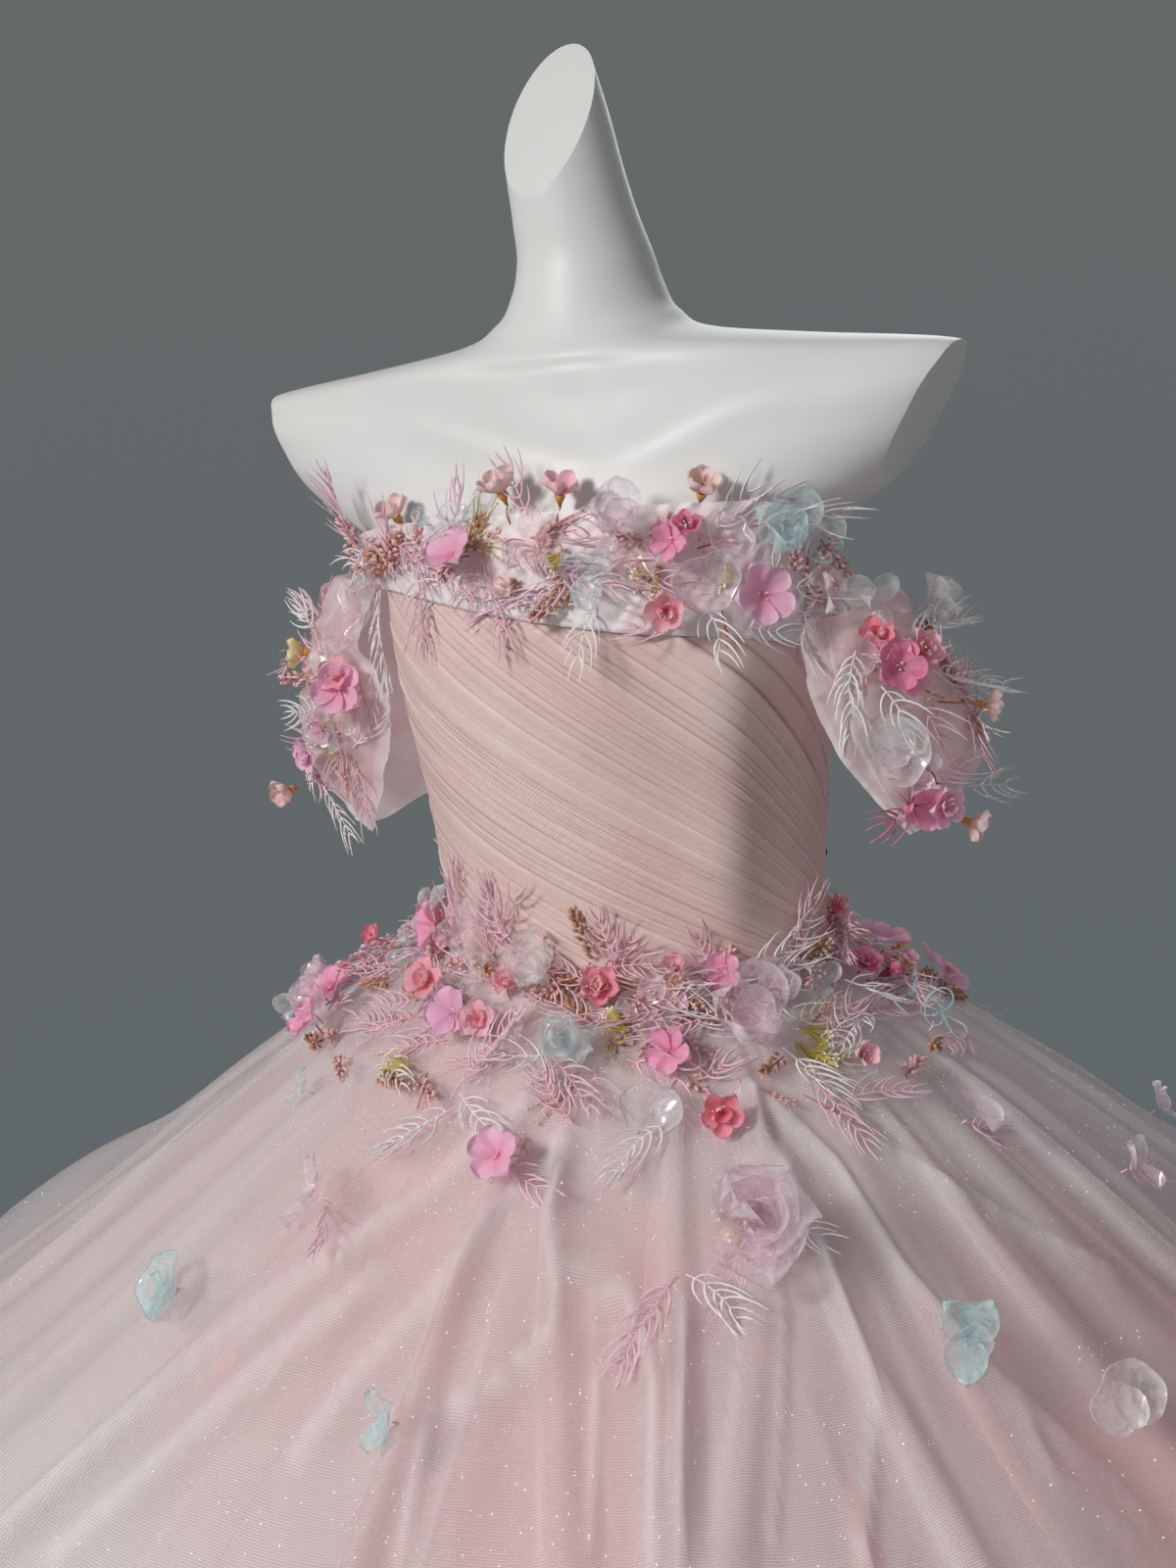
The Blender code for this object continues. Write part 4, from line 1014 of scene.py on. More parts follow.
def skirt_layer(grid, folds, minor, inset, depths, seed, rise=0.0):
    """Points of a closed skirt layer of tulle over the plain flare."""
    angle, drop = grid
    height = fold_heights(grid, folds, 0.03, seed)
    extra = fold_heights(grid, minor, 0.16, seed + 1) + FOLD_TROUGH
    turn = np.radians(angle)
    gather = np.exp(-drop / 0.030) * np.sin(turn * 96 + 2 * np.sin(turn * 7))
    depth = line(drop, LAYERS, depths) * FOLD_SOFTNESS
    out = depth * (height + extra) + GATHER_RISE * gather - inset + rise
    return on_skirt(angle, drop, out)


def doubled_lines(grid, folds, seed):
    """Tints: alpha is high where the net lies double along the folds, red low where it is thin."""
    angle, drop = grid
    flank = folds.copy()
    flank[:, 0] -= 9.0 * folds[:, 3]
    flank[:, 1] = np.clip(folds[:, 1] - 0.35, 0, 1)
    flank[:, 3] = 0.045
    line_share = fold_heights(grid, flank, 0.03, seed) + FOLD_TROUGH
    ragged = 0.6 + 0.4 * np.sin(drop * 23 + angle) * np.sin(drop * 9 + 0.3 * angle)
    tint = np.ones((*line_share.shape, 4))
    tint[..., 3] = np.clip(line_share * ragged * np.clip((drop - 0.03) / 0.08, 0, 1), 0, 1)
    thin = 0.0
    for place, depth, wide, tall, share in THIN_PLACES:
        away = half_turn(angle - place)
        thin = thin + share * np.exp(-(away / wide) ** 2 - ((drop - depth) / tall) ** 2)
    tint[..., 0] = 1 - np.clip(thin, -0.4, 1) * 0.78
    return tint


def add_skirts():
    folds = all_folds()
    outer = tulle("glitter_tulle", (0.88, 0.87, 0.868, 1), (0.87, 0.82, 0.815, 1), cover=0.82,
                  cover_low=0.34, cover_high=0.80, cell=0.0016, glitter=0.055, glow=0.14)
    grid = skirt_grid(columns=840, rows=104, reach=1.0)
    shape = {"grid": grid, "folds": folds, "minor": small_folds(34, 2), "inset": -WALL,
             "depths": OUTER_DEPTHS, "seed": 4}
    rise, strength = seen_creases(skirt_layer(**shape))
    tint = doubled_lines(grid, folds, 4)
    tint[..., 3] = np.clip(0.6 * tint[..., 3] + 0.8 * strength, 0, 1)
    piece = cloth("overskirt_tulle", skirt_layer(**shape, rise=rise), outer, closed=True,
                  tint=tint)
    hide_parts(*["overskirt_gore_%d" % (k + 1) for k in range(6)])

    middle = tulle("soft_tulle", (0.90, 0.83, 0.84, 1), (0.89, 0.72, 0.745, 1), cover=0.95,
                   cover_low=0.45, cover_high=0.70, cell=0.0022, glitter=0.0, glow=0.12)
    turned_folds = folds + np.array([5.0, 0, 0, 0.03])
    grid = skirt_grid(columns=560, rows=70, reach=0.995)
    space = line(grid[1], LAYERS, SPACES)
    points = skirt_layer(grid, turned_folds, small_folds(30, 5), MIDDLE_PLACE * space,
                         INNER_DEPTHS, seed=14)
    piece = cloth("middle_skirt_tulle", points, middle, closed=True,
                  tint=doubled_lines(grid, turned_folds, 14))
    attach(piece, "root")

    ridges = np.stack([np.arange(24) * 15.0, np.ones(24), np.zeros(24), np.full(24, 0.33)], 1)
    grid = skirt_grid(columns=480, rows=60, reach=0.99)
    points = skirt_layer(grid, ridges, small_folds(30, 7), line(grid[1], LAYERS, SPACES),
                         INNER_DEPTHS, seed=24)
    piece = cloth("underskirt_net", points, underskirt_cloth(), closed=True)
    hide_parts(*["underskirt_panel_%d" % (k + 1) for k in range(4)])


# ---- flowers
def srgb(*levels):
    """Linear colour from 0 to 255 values as seen on a screen."""
    share = np.array(levels) / 255
    return np.where(share <= 0.04045, share / 12.92, ((share + 0.055) / 1.055) ** 2.4)


# each tone as it is seen at the tip and at the heart
TONES = {name: (srgb(*levels[:3]), srgb(*levels[3:])) for name, *levels in listed("""
peach 255 198 198 242 160 96, pink 245 180 206 222 108 156, hot 243 156 192 210 82 136,
coral 252 168 180 222 76 102, red 244 128 148 206 54 86, rosy 252 180 192 226 98 122,
lilac 228 178 208 190 105 150, magenta 222 110 156 150 36 84, gold 245 215 150 205 150 50,
blush 246 208 214 232 160 172, white_fern 255 238 240 248 208 212,
pink_fern 253 206 217 240 162 180, dusty_fern 248 206 213 220 156 168,
cream_fern 255 238 222 228 190 168, magenta_fern 215 130 160 150 50 90,
dusty_ear 236 192 184 170 120 112, brown_ear 212 162 132 136 92 68,
pink_ear 246 200 200 212 146 146, olive_ear 196 170 92 120 88 36,
clear_white 240 238 242 222 216 222, clear_blue 205 228 234 160 205 214,
clear_aqua 190 226 226 130 198 198, clear_pink 246 214 223 236 180 195,
clear_grey 214 220 222 168 182 186, calyx 214 160 84 150 98 38, stem 186 134 116 150 98 84,
pale_stem 236 212 214 214 178 182, stamen 222 206 96 176 158 44""")}
PETAL, CLEAR, SPRIG = range(3)          # finishes of the flower pieces
CALYX, STEM, PALE_STEM, STAMEN = (TONES[name] for name in ("calyx", "stem", "pale_stem", "stamen"))
BEAD = srgb(246, 236, 214)
TONE_LIFT = 1.28            # light colours are meant as seen, in a light that is a little weaker


def xyz(x, y, z):
    """Points from their coordinates."""
    return np.stack(np.broadcast_arrays(x, y, z), -1)


def unit(vectors):
    return vectors / np.maximum(np.linalg.norm(vectors, axis=-1, keepdims=True), 1e-9)


def blend_tone(share, tone, cover=1.0):
    """Tints for an array of shares, from 0 at the heart to 1 at the tip."""
    tip, heart = tone
    share = np.asarray(share)[..., None]
    colour = np.minimum((heart + (tip - heart) * share) * TONE_LIFT, 0.97)
    return np.concatenate([colour, cover + 0 * share], -1)


def sheet_part(points, tint, finish, closed=False):
    faces = grid_faces(*points.shape[:2], closed)[0]
    return points.reshape(-1, 3), faces, tint.reshape(-1, 4), finish


def tube_part(path, radii, tone, finish=SPRIG, sides=3, cover=1.0):
    """A thin round stem along a path of points. Its ends are closed by their small radii."""
    path = np.asarray(path, float)
    run = unit(np.gradient(path, axis=0))
    side = unit(np.cross(run, (0.31, 0.17, 0.94)))
    turn = (np.arange(sides) * 2 * math.pi / sides)[None, :, None]
    ring = np.cos(turn) * side[:, None] + np.sin(turn) * np.cross(run, side)[:, None]
    points = path[:, None] + np.asarray(radii, float)[:, None, None] * ring
    share = np.linspace(0, 1, len(path))[:, None] + np.zeros((1, sides))
    return sheet_part(points, blend_tone(share, tone, cover), finish, closed=True)


def turned(points, axis, degrees):
    """Points turned about one of the local axes."""
    cos, sin = math.cos(math.radians(degrees)), math.sin(math.radians(degrees))
    matrix = {"X": [[1, 0, 0], [0, cos, -sin], [0, sin, cos]],
              "Y": [[cos, 0, sin], [0, 1, 0], [-sin, 0, cos]],
              "Z": [[cos, -sin, 0], [sin, cos, 0], [0, 0, 1]]}[axis]
    return points @ np.array(matrix).T


def petal(draw, length, width, cup, curl, tone, finish=PETAL, rows=7, columns=7, cover=1.0,
          rim=0.0, claw=0.22, ruffle=0.05, fullest=0.85):
    """A rounded petal along +X from the origin, whose inner side faces +Z."""
    along = np.sin(np.linspace(0, 1, rows) * math.pi / 2)[:, None]
    across = np.linspace(-1, 1, columns)[None, :]
    half = np.sqrt(np.clip(np.sin(math.pi * np.clip(along, 0, 1) ** fullest), 0, 1))
    half = width / 2 * np.maximum(half, claw * (1 - along ** 2))
    phase = draw.uniform(0, 6.3)
    wave = ruffle * length * np.sin(phase + 4.2 * across + 2 * along) * along ** 2
    bowl = cup * width * 0.5 * (across ** 2) * np.sin(math.pi * 0.55 * along)
    hollow = cup * length * 0.35 * along ** 2 - curl * length * np.clip(along - 0.6, 0, 1) ** 2 * 3
    notch = 1 - 0.05 * soft(across, 0.25) * along ** 4
    x = length * along * notch * (1 - 0.08 * across ** 2 * along)
    vein = 0.10 * np.cos(across * 14 + phase) * along
    edge = np.maximum(along ** 6, (across ** 8) * along) * np.minimum(half / (0.22 * width), 1)
    tint = blend_tone(np.clip(along ** 0.45 + vein, 0, 1), tone)
    # on clear petals, rim makes the edge denser and so brighter: painted reflection along the rim
    tint[..., 3] = np.clip(cover + rim * edge, 0, 1)
    tint[..., :3] *= draw.uniform(0.90, 1.04)
    tint[..., :3] += 0.16 * edge[..., None]
    return sheet_part(xyz(x, half * across, bowl + hollow + wave), np.clip(tint, 0, 1), finish)


def moved(part, turn_z=0.0, raise_y=0.0, roll=0.0, shift=(0, 0, 0)):
    points = turned(turned(part[0], "X", roll), "Y", -raise_y)
    return (turned(points, "Z", turn_z) + np.array(shift), *part[1:])


def ring_of_petals(draw, size, tone, count, raised, first, length, width, **more):
    """Petals round +Z, raised from level by degrees. Length and width are shares of the size."""
    return [moved(petal(draw, size * length, size * width, tone=tone, **more),
                  first + 360 / count * k + draw.uniform(-7, 7),
                  raised + draw.uniform(-7, 7), draw.uniform(-10, 10))
            for k in range(count)]


def grain(at, along, length, radius, tone):
    """A small long seed or bead that starts at a point."""
    along = np.asarray(along, float)
    share = np.array([0.0, 0.22, 0.6, 1.0])[:, None]
    path = np.asarray(at, float) + share * (along / np.linalg.norm(along)) * length
    return tube_part(path, radius * np.array([0.25, 0.9, 1.0, 0.12]), tone, sides=5)


def stamens(draw, count, length, spread, tone, bead=0.0006, thick=1.0):
    """Thin threads that fan out round +Z, with a bead on each."""
    parts = []
    share = np.linspace(0, 1, 4)
    for _ in range(count):
        turn, lean = draw.uniform(0, 360), spread * math.sqrt(draw.uniform(0.02, 1))
        reach = length * draw.uniform(0.75, 1.1)
        path = xyz(share ** 2 * (reach * 0.25), 0, share * reach)
        path = turned(turned(path, "Y", lean), "Z", turn)
        parts.append(tube_part(path, thick * np.array([0.00022, 0.0002, 0.0002, 0.00016]), tone))
        if bead:
            parts.append(grain(path[-1], (0, 0, 1), bead * 2, bead, (BEAD, BEAD)))
    return parts


def upright(size, heights, radii, tone, sides):
    """A round stem along +Z, its heights and radii as shares of the size."""
    return tube_part(xyz(0, 0, size * np.array(heights)), size * np.array(radii), tone,
                     sides=sides)


def five_petal(draw, size, tone):
    """An open flower with five rounded petals, like one of hydrangea."""
    parts = ring_of_petals(draw, size, tone, 5, 15, draw.uniform(0, 72), length=0.53,
                           width=0.405, cup=0.45, curl=0.22, claw=0.14, fullest=1.75,
                           columns=9, rows=9)
    return parts + stamens(draw, 6, size * 0.10, 45, (TONES["blush"][0], tone[1]), 0.0005)


def double_blossom(draw, size, tone):
    """A small double flower: cupped outer petals round tighter inner ones."""
    first = draw.uniform(0, 72)
    parts = ring_of_petals(draw, size, tone, 5, 18, first, length=0.52, width=0.40, cup=0.4,
                           curl=0.25, fullest=1.6)
    parts += ring_of_petals(draw, size, tone, 4, 42, first + 36, length=0.34, width=0.26,
                            cup=0.5, curl=0.15, rows=6, columns=6, fullest=1.5)
    return parts + stamens(draw, 7, size * 0.26, 34, (TONES["gold"][0], tone[1]))


def wax_bud(draw, size, tone):
    """A half open bud: a cup of five petals on a waxy calyx."""
    parts = ring_of_petals(draw, size, tone, 5, 20, draw.uniform(0, 72), length=0.50,
                           width=0.37, cup=0.85, curl=0.10, rows=8, fullest=1.7)
    parts += ring_of_petals(draw, size, tone, 4, 55, draw.uniform(0, 72), length=0.24,
                            width=0.20, cup=0.5, curl=0.1, rows=5, columns=5)
    parts += stamens(draw, 7, size * 0.24, 34, STAMEN)
    parts.append(upright(size, (-0.26, -0.19, -0.11, -0.04, 0.03),
                         (0.030, 0.045, 0.080, 0.115, 0.10), CALYX, 8))
    for k in range(5):
        leaf = petal(draw, size * 0.26, size * 0.14, 0.6, 0.5, CALYX, SPRIG, rows=4, columns=3)
        parts.append(moved(leaf, 72 * k + 20, 48, 0, (0, 0, -0.06 * size)))
    return parts


def spiky_bud(draw, size, tone):
    """A dark closed bud with long fine threads round its mouth."""
    parts = ring_of_petals(draw, size, tone, 5, 62, 0, length=0.5, width=0.5, cup=0.9,
                           curl=0.0, rows=5, columns=5)
    parts += stamens(draw, 22, size * 0.85, 78, (tone[0] * 0.7, tone[1]), 0.0)
    parts.append(upright(size, (-0.4, -0.22, -0.06, 0.08), (0.05, 0.12, 0.17, 0.18),
                         (tone[1], STEM[1]), 7))
    return parts


def clear_disc(draw, size, tone, cup=0.35):
    """A thin clear petal, round and cupped, with a wavy rim that curls over."""
    share = np.array([0.0, 0.22, 0.45, 0.66, 0.82, 0.93, 0.985, 1.0, 0.985])[:, None]
    turn = (np.arange(34) * 2 * math.pi / 34)[None, :]
    a, b, c = draw.uniform(0, 6.3, 3)
    edge = 1 + 0.10 * np.sin(2 * turn + a) + 0.06 * np.sin(3 * turn + b) \
        + 0.035 * np.sin(6 * turn + c)
    radius = size / 2 * share * (1 + (edge - 1) * share ** 2)
    step = np.arange(9)[:, None] / 8
    height = cup * size * 0.5 * share ** 2.4
    height = height + 0.10 * size * 0.5 * share ** 3 * np.sin(4 * turn + b)
    height = height + 0.030 * size * np.clip(step - 0.78, 0, 1) / 0.22
    height = height + 0.02 * size * np.sin(3 * turn + 5 * share + c) * share
    tint = blend_tone(share + 0 * turn, tone)
    # painted reflection: the film is made denser, and so brighter, towards the rim, in gleaming
    # spots along it
    gleam = np.clip(0.5 + 0.5 * np.sin(5 * turn + a) * np.sin(2 * turn + c), 0, 1)
    tint[..., 3] = np.clip(0.22 + 0.60 * share ** 7 * (0.45 + 0.55 * gleam)
                           + 0.10 * np.sin(3 * turn + 4 * share + b) * share, 0.04, 1)
    points = xyz(radius * np.cos(turn), radius * np.sin(turn), height)
    return [sheet_part(points, tint, CLEAR, closed=True)]


def clear_rose(draw, size, tone):
    """Five loose clear petals, one in another, round a cupped one."""
    parts = []
    for k in range(5):
        reach = size * (0.62 - 0.06 * k)
        part = petal(draw, reach, reach * 1.05, 0.55, 0.10, tone, CLEAR, 9, 11, cover=0.24,
                     rim=0.55, ruffle=0.09)
        parts.append(moved(part, 72 * k + draw.uniform(-15, 15), 14 + 11 * k,
                           draw.uniform(-14, 14)))
    heart = clear_disc(draw, size * 0.5, tone, cup=0.8)[0]
    return parts + [moved(heart, draw.uniform(0, 360), 0, 0, (0.0, 0.0, 0.05 * size))]


def clear_pair(draw, size, tone):
    """Three clear petals, two of them side by side like a pair of wings."""
    parts = []
    for turn in (0, 130, 215):
        part = petal(draw, size * 0.62, size * 0.52, 0.45, 0.15, tone, CLEAR, 8, 9,
                     cover=0.26, rim=0.55, ruffle=0.10)
        parts.append(moved(part, turn + draw.uniform(-12, 12), 18, draw.uniform(-12, 12)))
    return parts


def teardrop(draw, size, tone):
    """One clear cupped petal that narrows to a point at -X."""
    part = petal(draw, size, size * 0.72, 0.8, 0.3, tone, CLEAR, 9, 9, cover=0.34, rim=0.5,
                 claw=0.04, ruffle=0.06)
    return [moved(part, 0, 8, 0, (-size * 0.55, 0, 0))]


def clear_loops(draw, size, tone):
    """A few glassy loops of clear thread."""
    parts = []
    turn = np.linspace(0, 2 * math.pi, 17)
    for _ in range(4):
        reach = size * draw.uniform(0.2, 0.36)
        path = xyz(reach * np.cos(turn), reach * 0.6 * np.sin(turn), 0.2 * reach * np.sin(2 * turn))
        part = tube_part(path, np.full(17, 0.0007), tone, CLEAR, sides=4, cover=0.36)
        parts.append(moved(part, draw.uniform(0, 360), draw.uniform(-30, 30),
                           draw.uniform(-40, 40), draw.uniform(-0.25, 0.25, 3) * size))
    return parts


# each kind of flower, and how far its back lies below its middle as a share of its size
FLOWERS = {"five": (five_petal, 0.10), "double": (double_blossom, 0.16), "bud": (wax_bud, 0.26),
           "spiky": (spiky_bud, 0.40), "disc": (clear_disc, 0.04), "rose": (clear_rose, 0.06),
           "pair": (clear_pair, 0.05), "tear": (teardrop, 0.10), "loops": (clear_loops, 0.12)}
CLEAR_KINDS = ("disc", "rose", "pair", "tear", "loops")


def fern(draw, length, tone, needle=0.0165):
    """A sprig of asparagus fern along +X: a thin stem with paired curved needles."""
    pairs = int(np.clip(length / 0.0056, 5, 13))
    share = np.linspace(0, 1, 9)
    bow = draw.uniform(-0.10, 0.10) * length
    stem = xyz(length * share, bow * 4 * share * (1 - share),
               0.05 * length * np.sin(math.pi * share))
    parts = [tube_part(stem, 0.0007 * (1 - 0.6 * share), tone)]
    step = np.linspace(0, 1, 6)
    for k in range(pairs):
        at = 0.14 + 0.84 * k / (pairs - 1)
        root = np.array([np.interp(at, share, stem[:, axis]) for axis in range(3)])
        size = needle * (0.55 + 0.6 * math.sin(math.pi * min(at * 0.8 + 0.15, 1)))
        for side in (-1, 1):
            if draw.uniform() < 0.08:
                continue
            reach = size * draw.uniform(0.75, 1.2)
            open_angle = math.radians(draw.uniform(58, 84) - 24 * at)
            forward = math.cos(open_angle) * step + 0.62 * step ** 2
            out = side * (math.sin(open_angle) * step - 0.38 * step ** 2)
            up = draw.uniform(-0.15, 0.45) * step + draw.uniform(-0.2, 0.3) * step ** 2
            fade = draw.uniform(0.6, 1.0)
            tip, heart = (tone[1] + (tone[0] - tone[1]) * part for part in (fade, 0.35))
            parts.append(tube_part(root + reach * xyz(forward, out, up),
                                   0.00076 * np.array([1, 1, 1, 0.85, 0.6, 0.25]), (tip, heart)))
    return parts


def ear(draw, length, tone, width=0.5, size=0.0048):
    """A dense ear of small long buds round a stem along +X."""
    count = int(np.clip(length / 0.0009, 16, 36))
    share = np.linspace(0, 1, 4)
    parts = [tube_part(xyz(length * 0.9 * share, 0, 0), 0.0006 * (1 - 0.5 * share), STEM)]
    for k in range(count):
        at = (k + 0.5) / count
        turn = k * 2.4 + draw.uniform(-0.4, 0.4)
        reach = width * length * 0.5 * (1 - at) ** 0.7 * draw.uniform(0.55, 1.05)
        side = np.array([0, math.cos(turn), math.sin(turn)])
        root = np.array([length * (0.05 + 0.85 * at), 0, 0]) + side * reach * 0.55
        along = np.array([0.75, 0, 0]) + side * (1.0 - 0.5 * at)
        shade = draw.uniform(0.75, 1.12)
        parts.append(grain(root, along, size * draw.uniform(0.8, 1.2),
                           size * 0.24 * draw.uniform(0.85, 1.15),
                           (tone[0] * shade, tone[1] * shade)))
    return parts


def spray(draw, length, tone):
    """A tuft of yellow-green threads along +X with pale beads, in the same tone always."""
    return [(turned(points, "Y", 90), *rest)
            for points, *rest in stamens(draw, 24, length, 34, STAMEN, 0.0009, 2.0)]


def twig(draw, length, tone):
    """A thin forked twig along +X with tiny buds."""
    parts = []
    share = np.linspace(0, 1, 6)
    for _ in range(3):
        path = xyz(length * share, length * draw.uniform(-0.25, 0.25) * share ** 1.5,
                   length * draw.uniform(0.0, 0.2) * share)
        parts.append(tube_part(path, 0.00045 * (1 - 0.5 * share), STEM))
        for point in path[2:]:
            parts.append(grain(point, draw.uniform(-1, 1, 3) + (1.2, 0, 0.3), 0.0026, 0.0008,
                               tone))
    return parts


SPRIGS = {"fern": fern, "ear": ear, "spray": spray, "twig": twig}


class Posy:
    """Gathers many small parts that are sewn to one carrier, to be joined as one mesh."""

    def __init__(self, seed):
        self.draw = np.random.default_rng(seed)
        self.points, self.faces, self.tints, self.finish = [], [], [], []
        self.count = 0

    def add(self, parts, at, out, along):
        """Adds parts whose local +Z points out and local +X along, in the world's frame."""
        out = np.asarray(out, float) / np.linalg.norm(out)
        along = np.asarray(along, float) - np.dot(along, out) * out
        along /= max(np.linalg.norm(along), 1e-9)
        axes = np.stack([along, np.cross(out, along), out])
        for points, faces, tint, finish in parts:
            self.points.append(points @ axes + np.asarray(at, float))
            self.faces.append(faces + self.count)
            self.tints.append(tint)
            self.finish.append(np.full(len(faces), finish))
            self.count += len(points)

    def sprig(self, kind, length, tone, at, out, along):
        self.add(SPRIGS[kind](self.draw, length, TONES[tone]), at, out, along)

    def bloom(self, kind, size, tone, head, axis, side, foot, out):
        """A flower that faces along its axis, on a thin stem from the carrier to its back."""
        make, depth = FLOWERS[kind]
        foot, head, out, axis = (np.asarray(v, float) for v in (foot, head, out, axis))
        self.add(make(self.draw, size, TONES[tone]), head, axis, side)
        back = head - axis / np.linalg.norm(axis) * depth * size
        share = np.linspace(0, 1, 5)[:, None]
        bend = out * np.linalg.norm(back - foot) * 0.25
        path = (foot - 0.0012 * out) + share * (back - foot) + bend * np.sin(math.pi * share)
        stalk = tube_part(path, [0.0006, 0.0006, 0.00055, 0.0005, 0.0005],
                          PALE_STEM if kind in CLEAR_KINDS else STEM, sides=4)
        self.add([stalk], (0, 0, 0), (0, 0, 1), (1, 0, 0))

    def flower(self, kind, head, foot, out, along, size, tone, lean):
        """A flower with its head at a point, leaning from out towards along by degrees."""
        cos, sin = math.cos(math.radians(lean)), math.sin(math.radians(lean))
        axis = cos * np.asarray(out) + sin * np.asarray(along)
        side = -sin * np.asarray(out) + cos * np.asarray(along)
        self.bloom(kind, size, tone, head, axis, side, foot, out)

    def made(self, name, finishes, replaced, slot="flowers"):
        piece = make_mesh(name, np.concatenate(self.points), np.concatenate(self.faces), None,
                          np.concatenate(self.tints), finishes, np.concatenate(self.finish))
        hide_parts(*replaced)


# Places read off the picture, in its pixels.
# Sprigs: kind, foot x and y, tip x and y, tone.
# Flowers: kind, head x and y, size in mm, way it points in the picture in degrees from right,
# lean that way in degrees, tone.
# Buds: foot x and y, head x and y, size in mm, how far it turns to face out, tone.
SEEN_ON_NECKLINE = ("""
fern 397 566 371 546 pink_fern, fern 374 574 342 572 white_fern, fern 366 622 306 645 white_fern,
fern 350 634 320 610 white_fern, fern 433 566 492 610 white_fern, fern 492 566 470 600 pink_fern,
fern 556 598 494 634 pink_fern, fern 508 548 552 580 pink_fern, fern 606 618 593 674 white_fern,
fern 540 548 596 536 dusty_fern, fern 716 618 729 670 white_fern, twig 736 622 745 655 brown_ear,
fern 728 542 762 502 white_fern, fern 742 534 800 514 pink_fern, fern 806 602 864 600 white_fern,
fern 812 622 872 652 white_fern, fern 828 640 822 674 white_fern, fern 858 636 896 668 pink_fern,
fern 640 600 700 612 pink_fern, fern 560 560 610 590 pink_fern, fern 760 640 806 646 white_fern,
fern 520 620 556 612 white_fern, ear 424 562 394 604 dusty_ear, ear 428 558 412 540 pink_ear,
ear 474 564 496 522 dusty_ear, ear 478 564 512 540 pink_ear, ear 583 600 549 640 brown_ear,
ear 712 560 752 556 pink_ear, ear 852 558 876 592 dusty_ear, ear 846 566 862 604 pink_ear,
ear 660 548 690 526 dusty_ear, twig 548 545 600 528 dusty_ear, spray 474 556 498 528 gold,
spray 676 578 654 598 gold, fern 640 560 600 546 pink_fern, fern 838 602 884 620 white_fern,
ear 842 600 866 622 dusty_ear, fern 690 640 650 640 pink_fern, fern 452 590 430 612 white_fern
""", """
five 460 567 34 100 38 pink, five 685 553 26 150 35 hot, five 777 608 38 20 6 pink,
double 678 623 26 270 10 coral, rose 634 533 40 90 18 clear_pink, disc 719 591 35 300 8 clear_pink,
rose 800 543 46 80 20 clear_blue, disc 836 552 26 30 25 clear_aqua,
pair 597 586 34 270 10 clear_blue, pair 614 568 24 60 20 clear_white,
pair 433 535 20 120 40 clear_blue, disc 466 530 22 80 45 clear_blue,
disc 380 580 20 150 30 clear_grey, disc 356 606 22 170 30 clear_white,
disc 374 602 17 170 15 clear_grey, pair 891 612 30 40 20 clear_grey, pair 548 556 36 100 15 blush,
pair 505 590 26 200 8 blush, disc 744 548 26 90 30 clear_pink, disc 846 538 18 70 40 clear_white,
pair 856 606 34 10 12 clear_white, pair 838 618 26 330 10 clear_pink, pair 650 566 26 320 12 blush,
double 700 536 18 90 30 magenta, pair 838 590 26 320 12 clear_pink
""", """
412 556 405 528 27 0.42 peach, 520 536 512 503 29 0.38 peach, 567 540 571 505 28 0.34 rosy,
713 530 716 503 28 0.4 peach""")
SEEN_ON_RIGHT_SLEEVE = ("""
fern 326 718 296 728 white_fern, fern 340 690 318 676 pink_fern, fern 330 800 338 852 white_fern,
fern 363 780 369 832 pink_fern, fern 360 764 380 722 white_fern, fern 310 762 286 782 white_fern,
fern 345 655 372 640 pink_fern, fern 352 740 340 790 pink_fern, fern 320 640 306 622 white_fern,
fern 366 690 372 730 dusty_fern, ear 336 690 306 702 pink_ear, ear 330 700 312 716 dusty_ear,
twig 345 745 338 784 dusty_ear, spray 322 760 338 770 gold, fern 316 790 296 822 pink_fern,
twig 350 780 358 808 dusty_ear
""", """
five 347 704 38 70 12 pink, double 344 690 27 100 20 coral, pair 355 724 30 280 10 blush,
double 315 769 26 180 25 lilac, pair 338 752 28 200 15 clear_grey,
disc 335 672 24 120 20 clear_white, pair 352 650 26 60 20 clear_pink,
disc 320 735 22 190 30 clear_pink, five 330 745 20 210 20 lilac
""", """
336 672 311 665 26 0.45 gold, 324 792 296 806 26 0.42 peach""")
SEEN_ON_LEFT_SLEEVE = ("""
fern 944 682 1036 681 white_fern, fern 868 686 872 742 white_fern, fern 926 712 960 750 pink_fern,
fern 900 700 930 742 white_fern, fern 994 806 1038 797 white_fern,
fern 960 800 935 786 magenta_fern, fern 874 664 866 700 white_fern, fern 950 790 985 782 pink_fern,
ear 905 668 880 690 dusty_ear, twig 930 696 962 718 gold, spray 886 640 902 632 gold,
fern 930 830 908 842 magenta_fern, fern 925 655 960 648 white_fern, fern 966 700 1000 700 white_fern
""", """
double 894 649 24 120 20 red, double 940 664 27 30 25 coral, five 918 680 32 250 12 magenta,
five 932 696 18 290 20 pink, disc 917 765 36 300 6 clear_white, disc 915 763 21 300 4 clear_grey,
pair 936 786 26 290 10 clear_pink, five 944 820 30 250 10 hot, double 962 822 27 10 20 pink,
spiky 930 822 15 220 25 magenta, pair 886 668 24 240 15 clear_pink, double 908 660 20 90 20 rosy
""", """
958 716 1003 718 24 0.3 peach, 962 826 988 838 25 0.35 peach""")
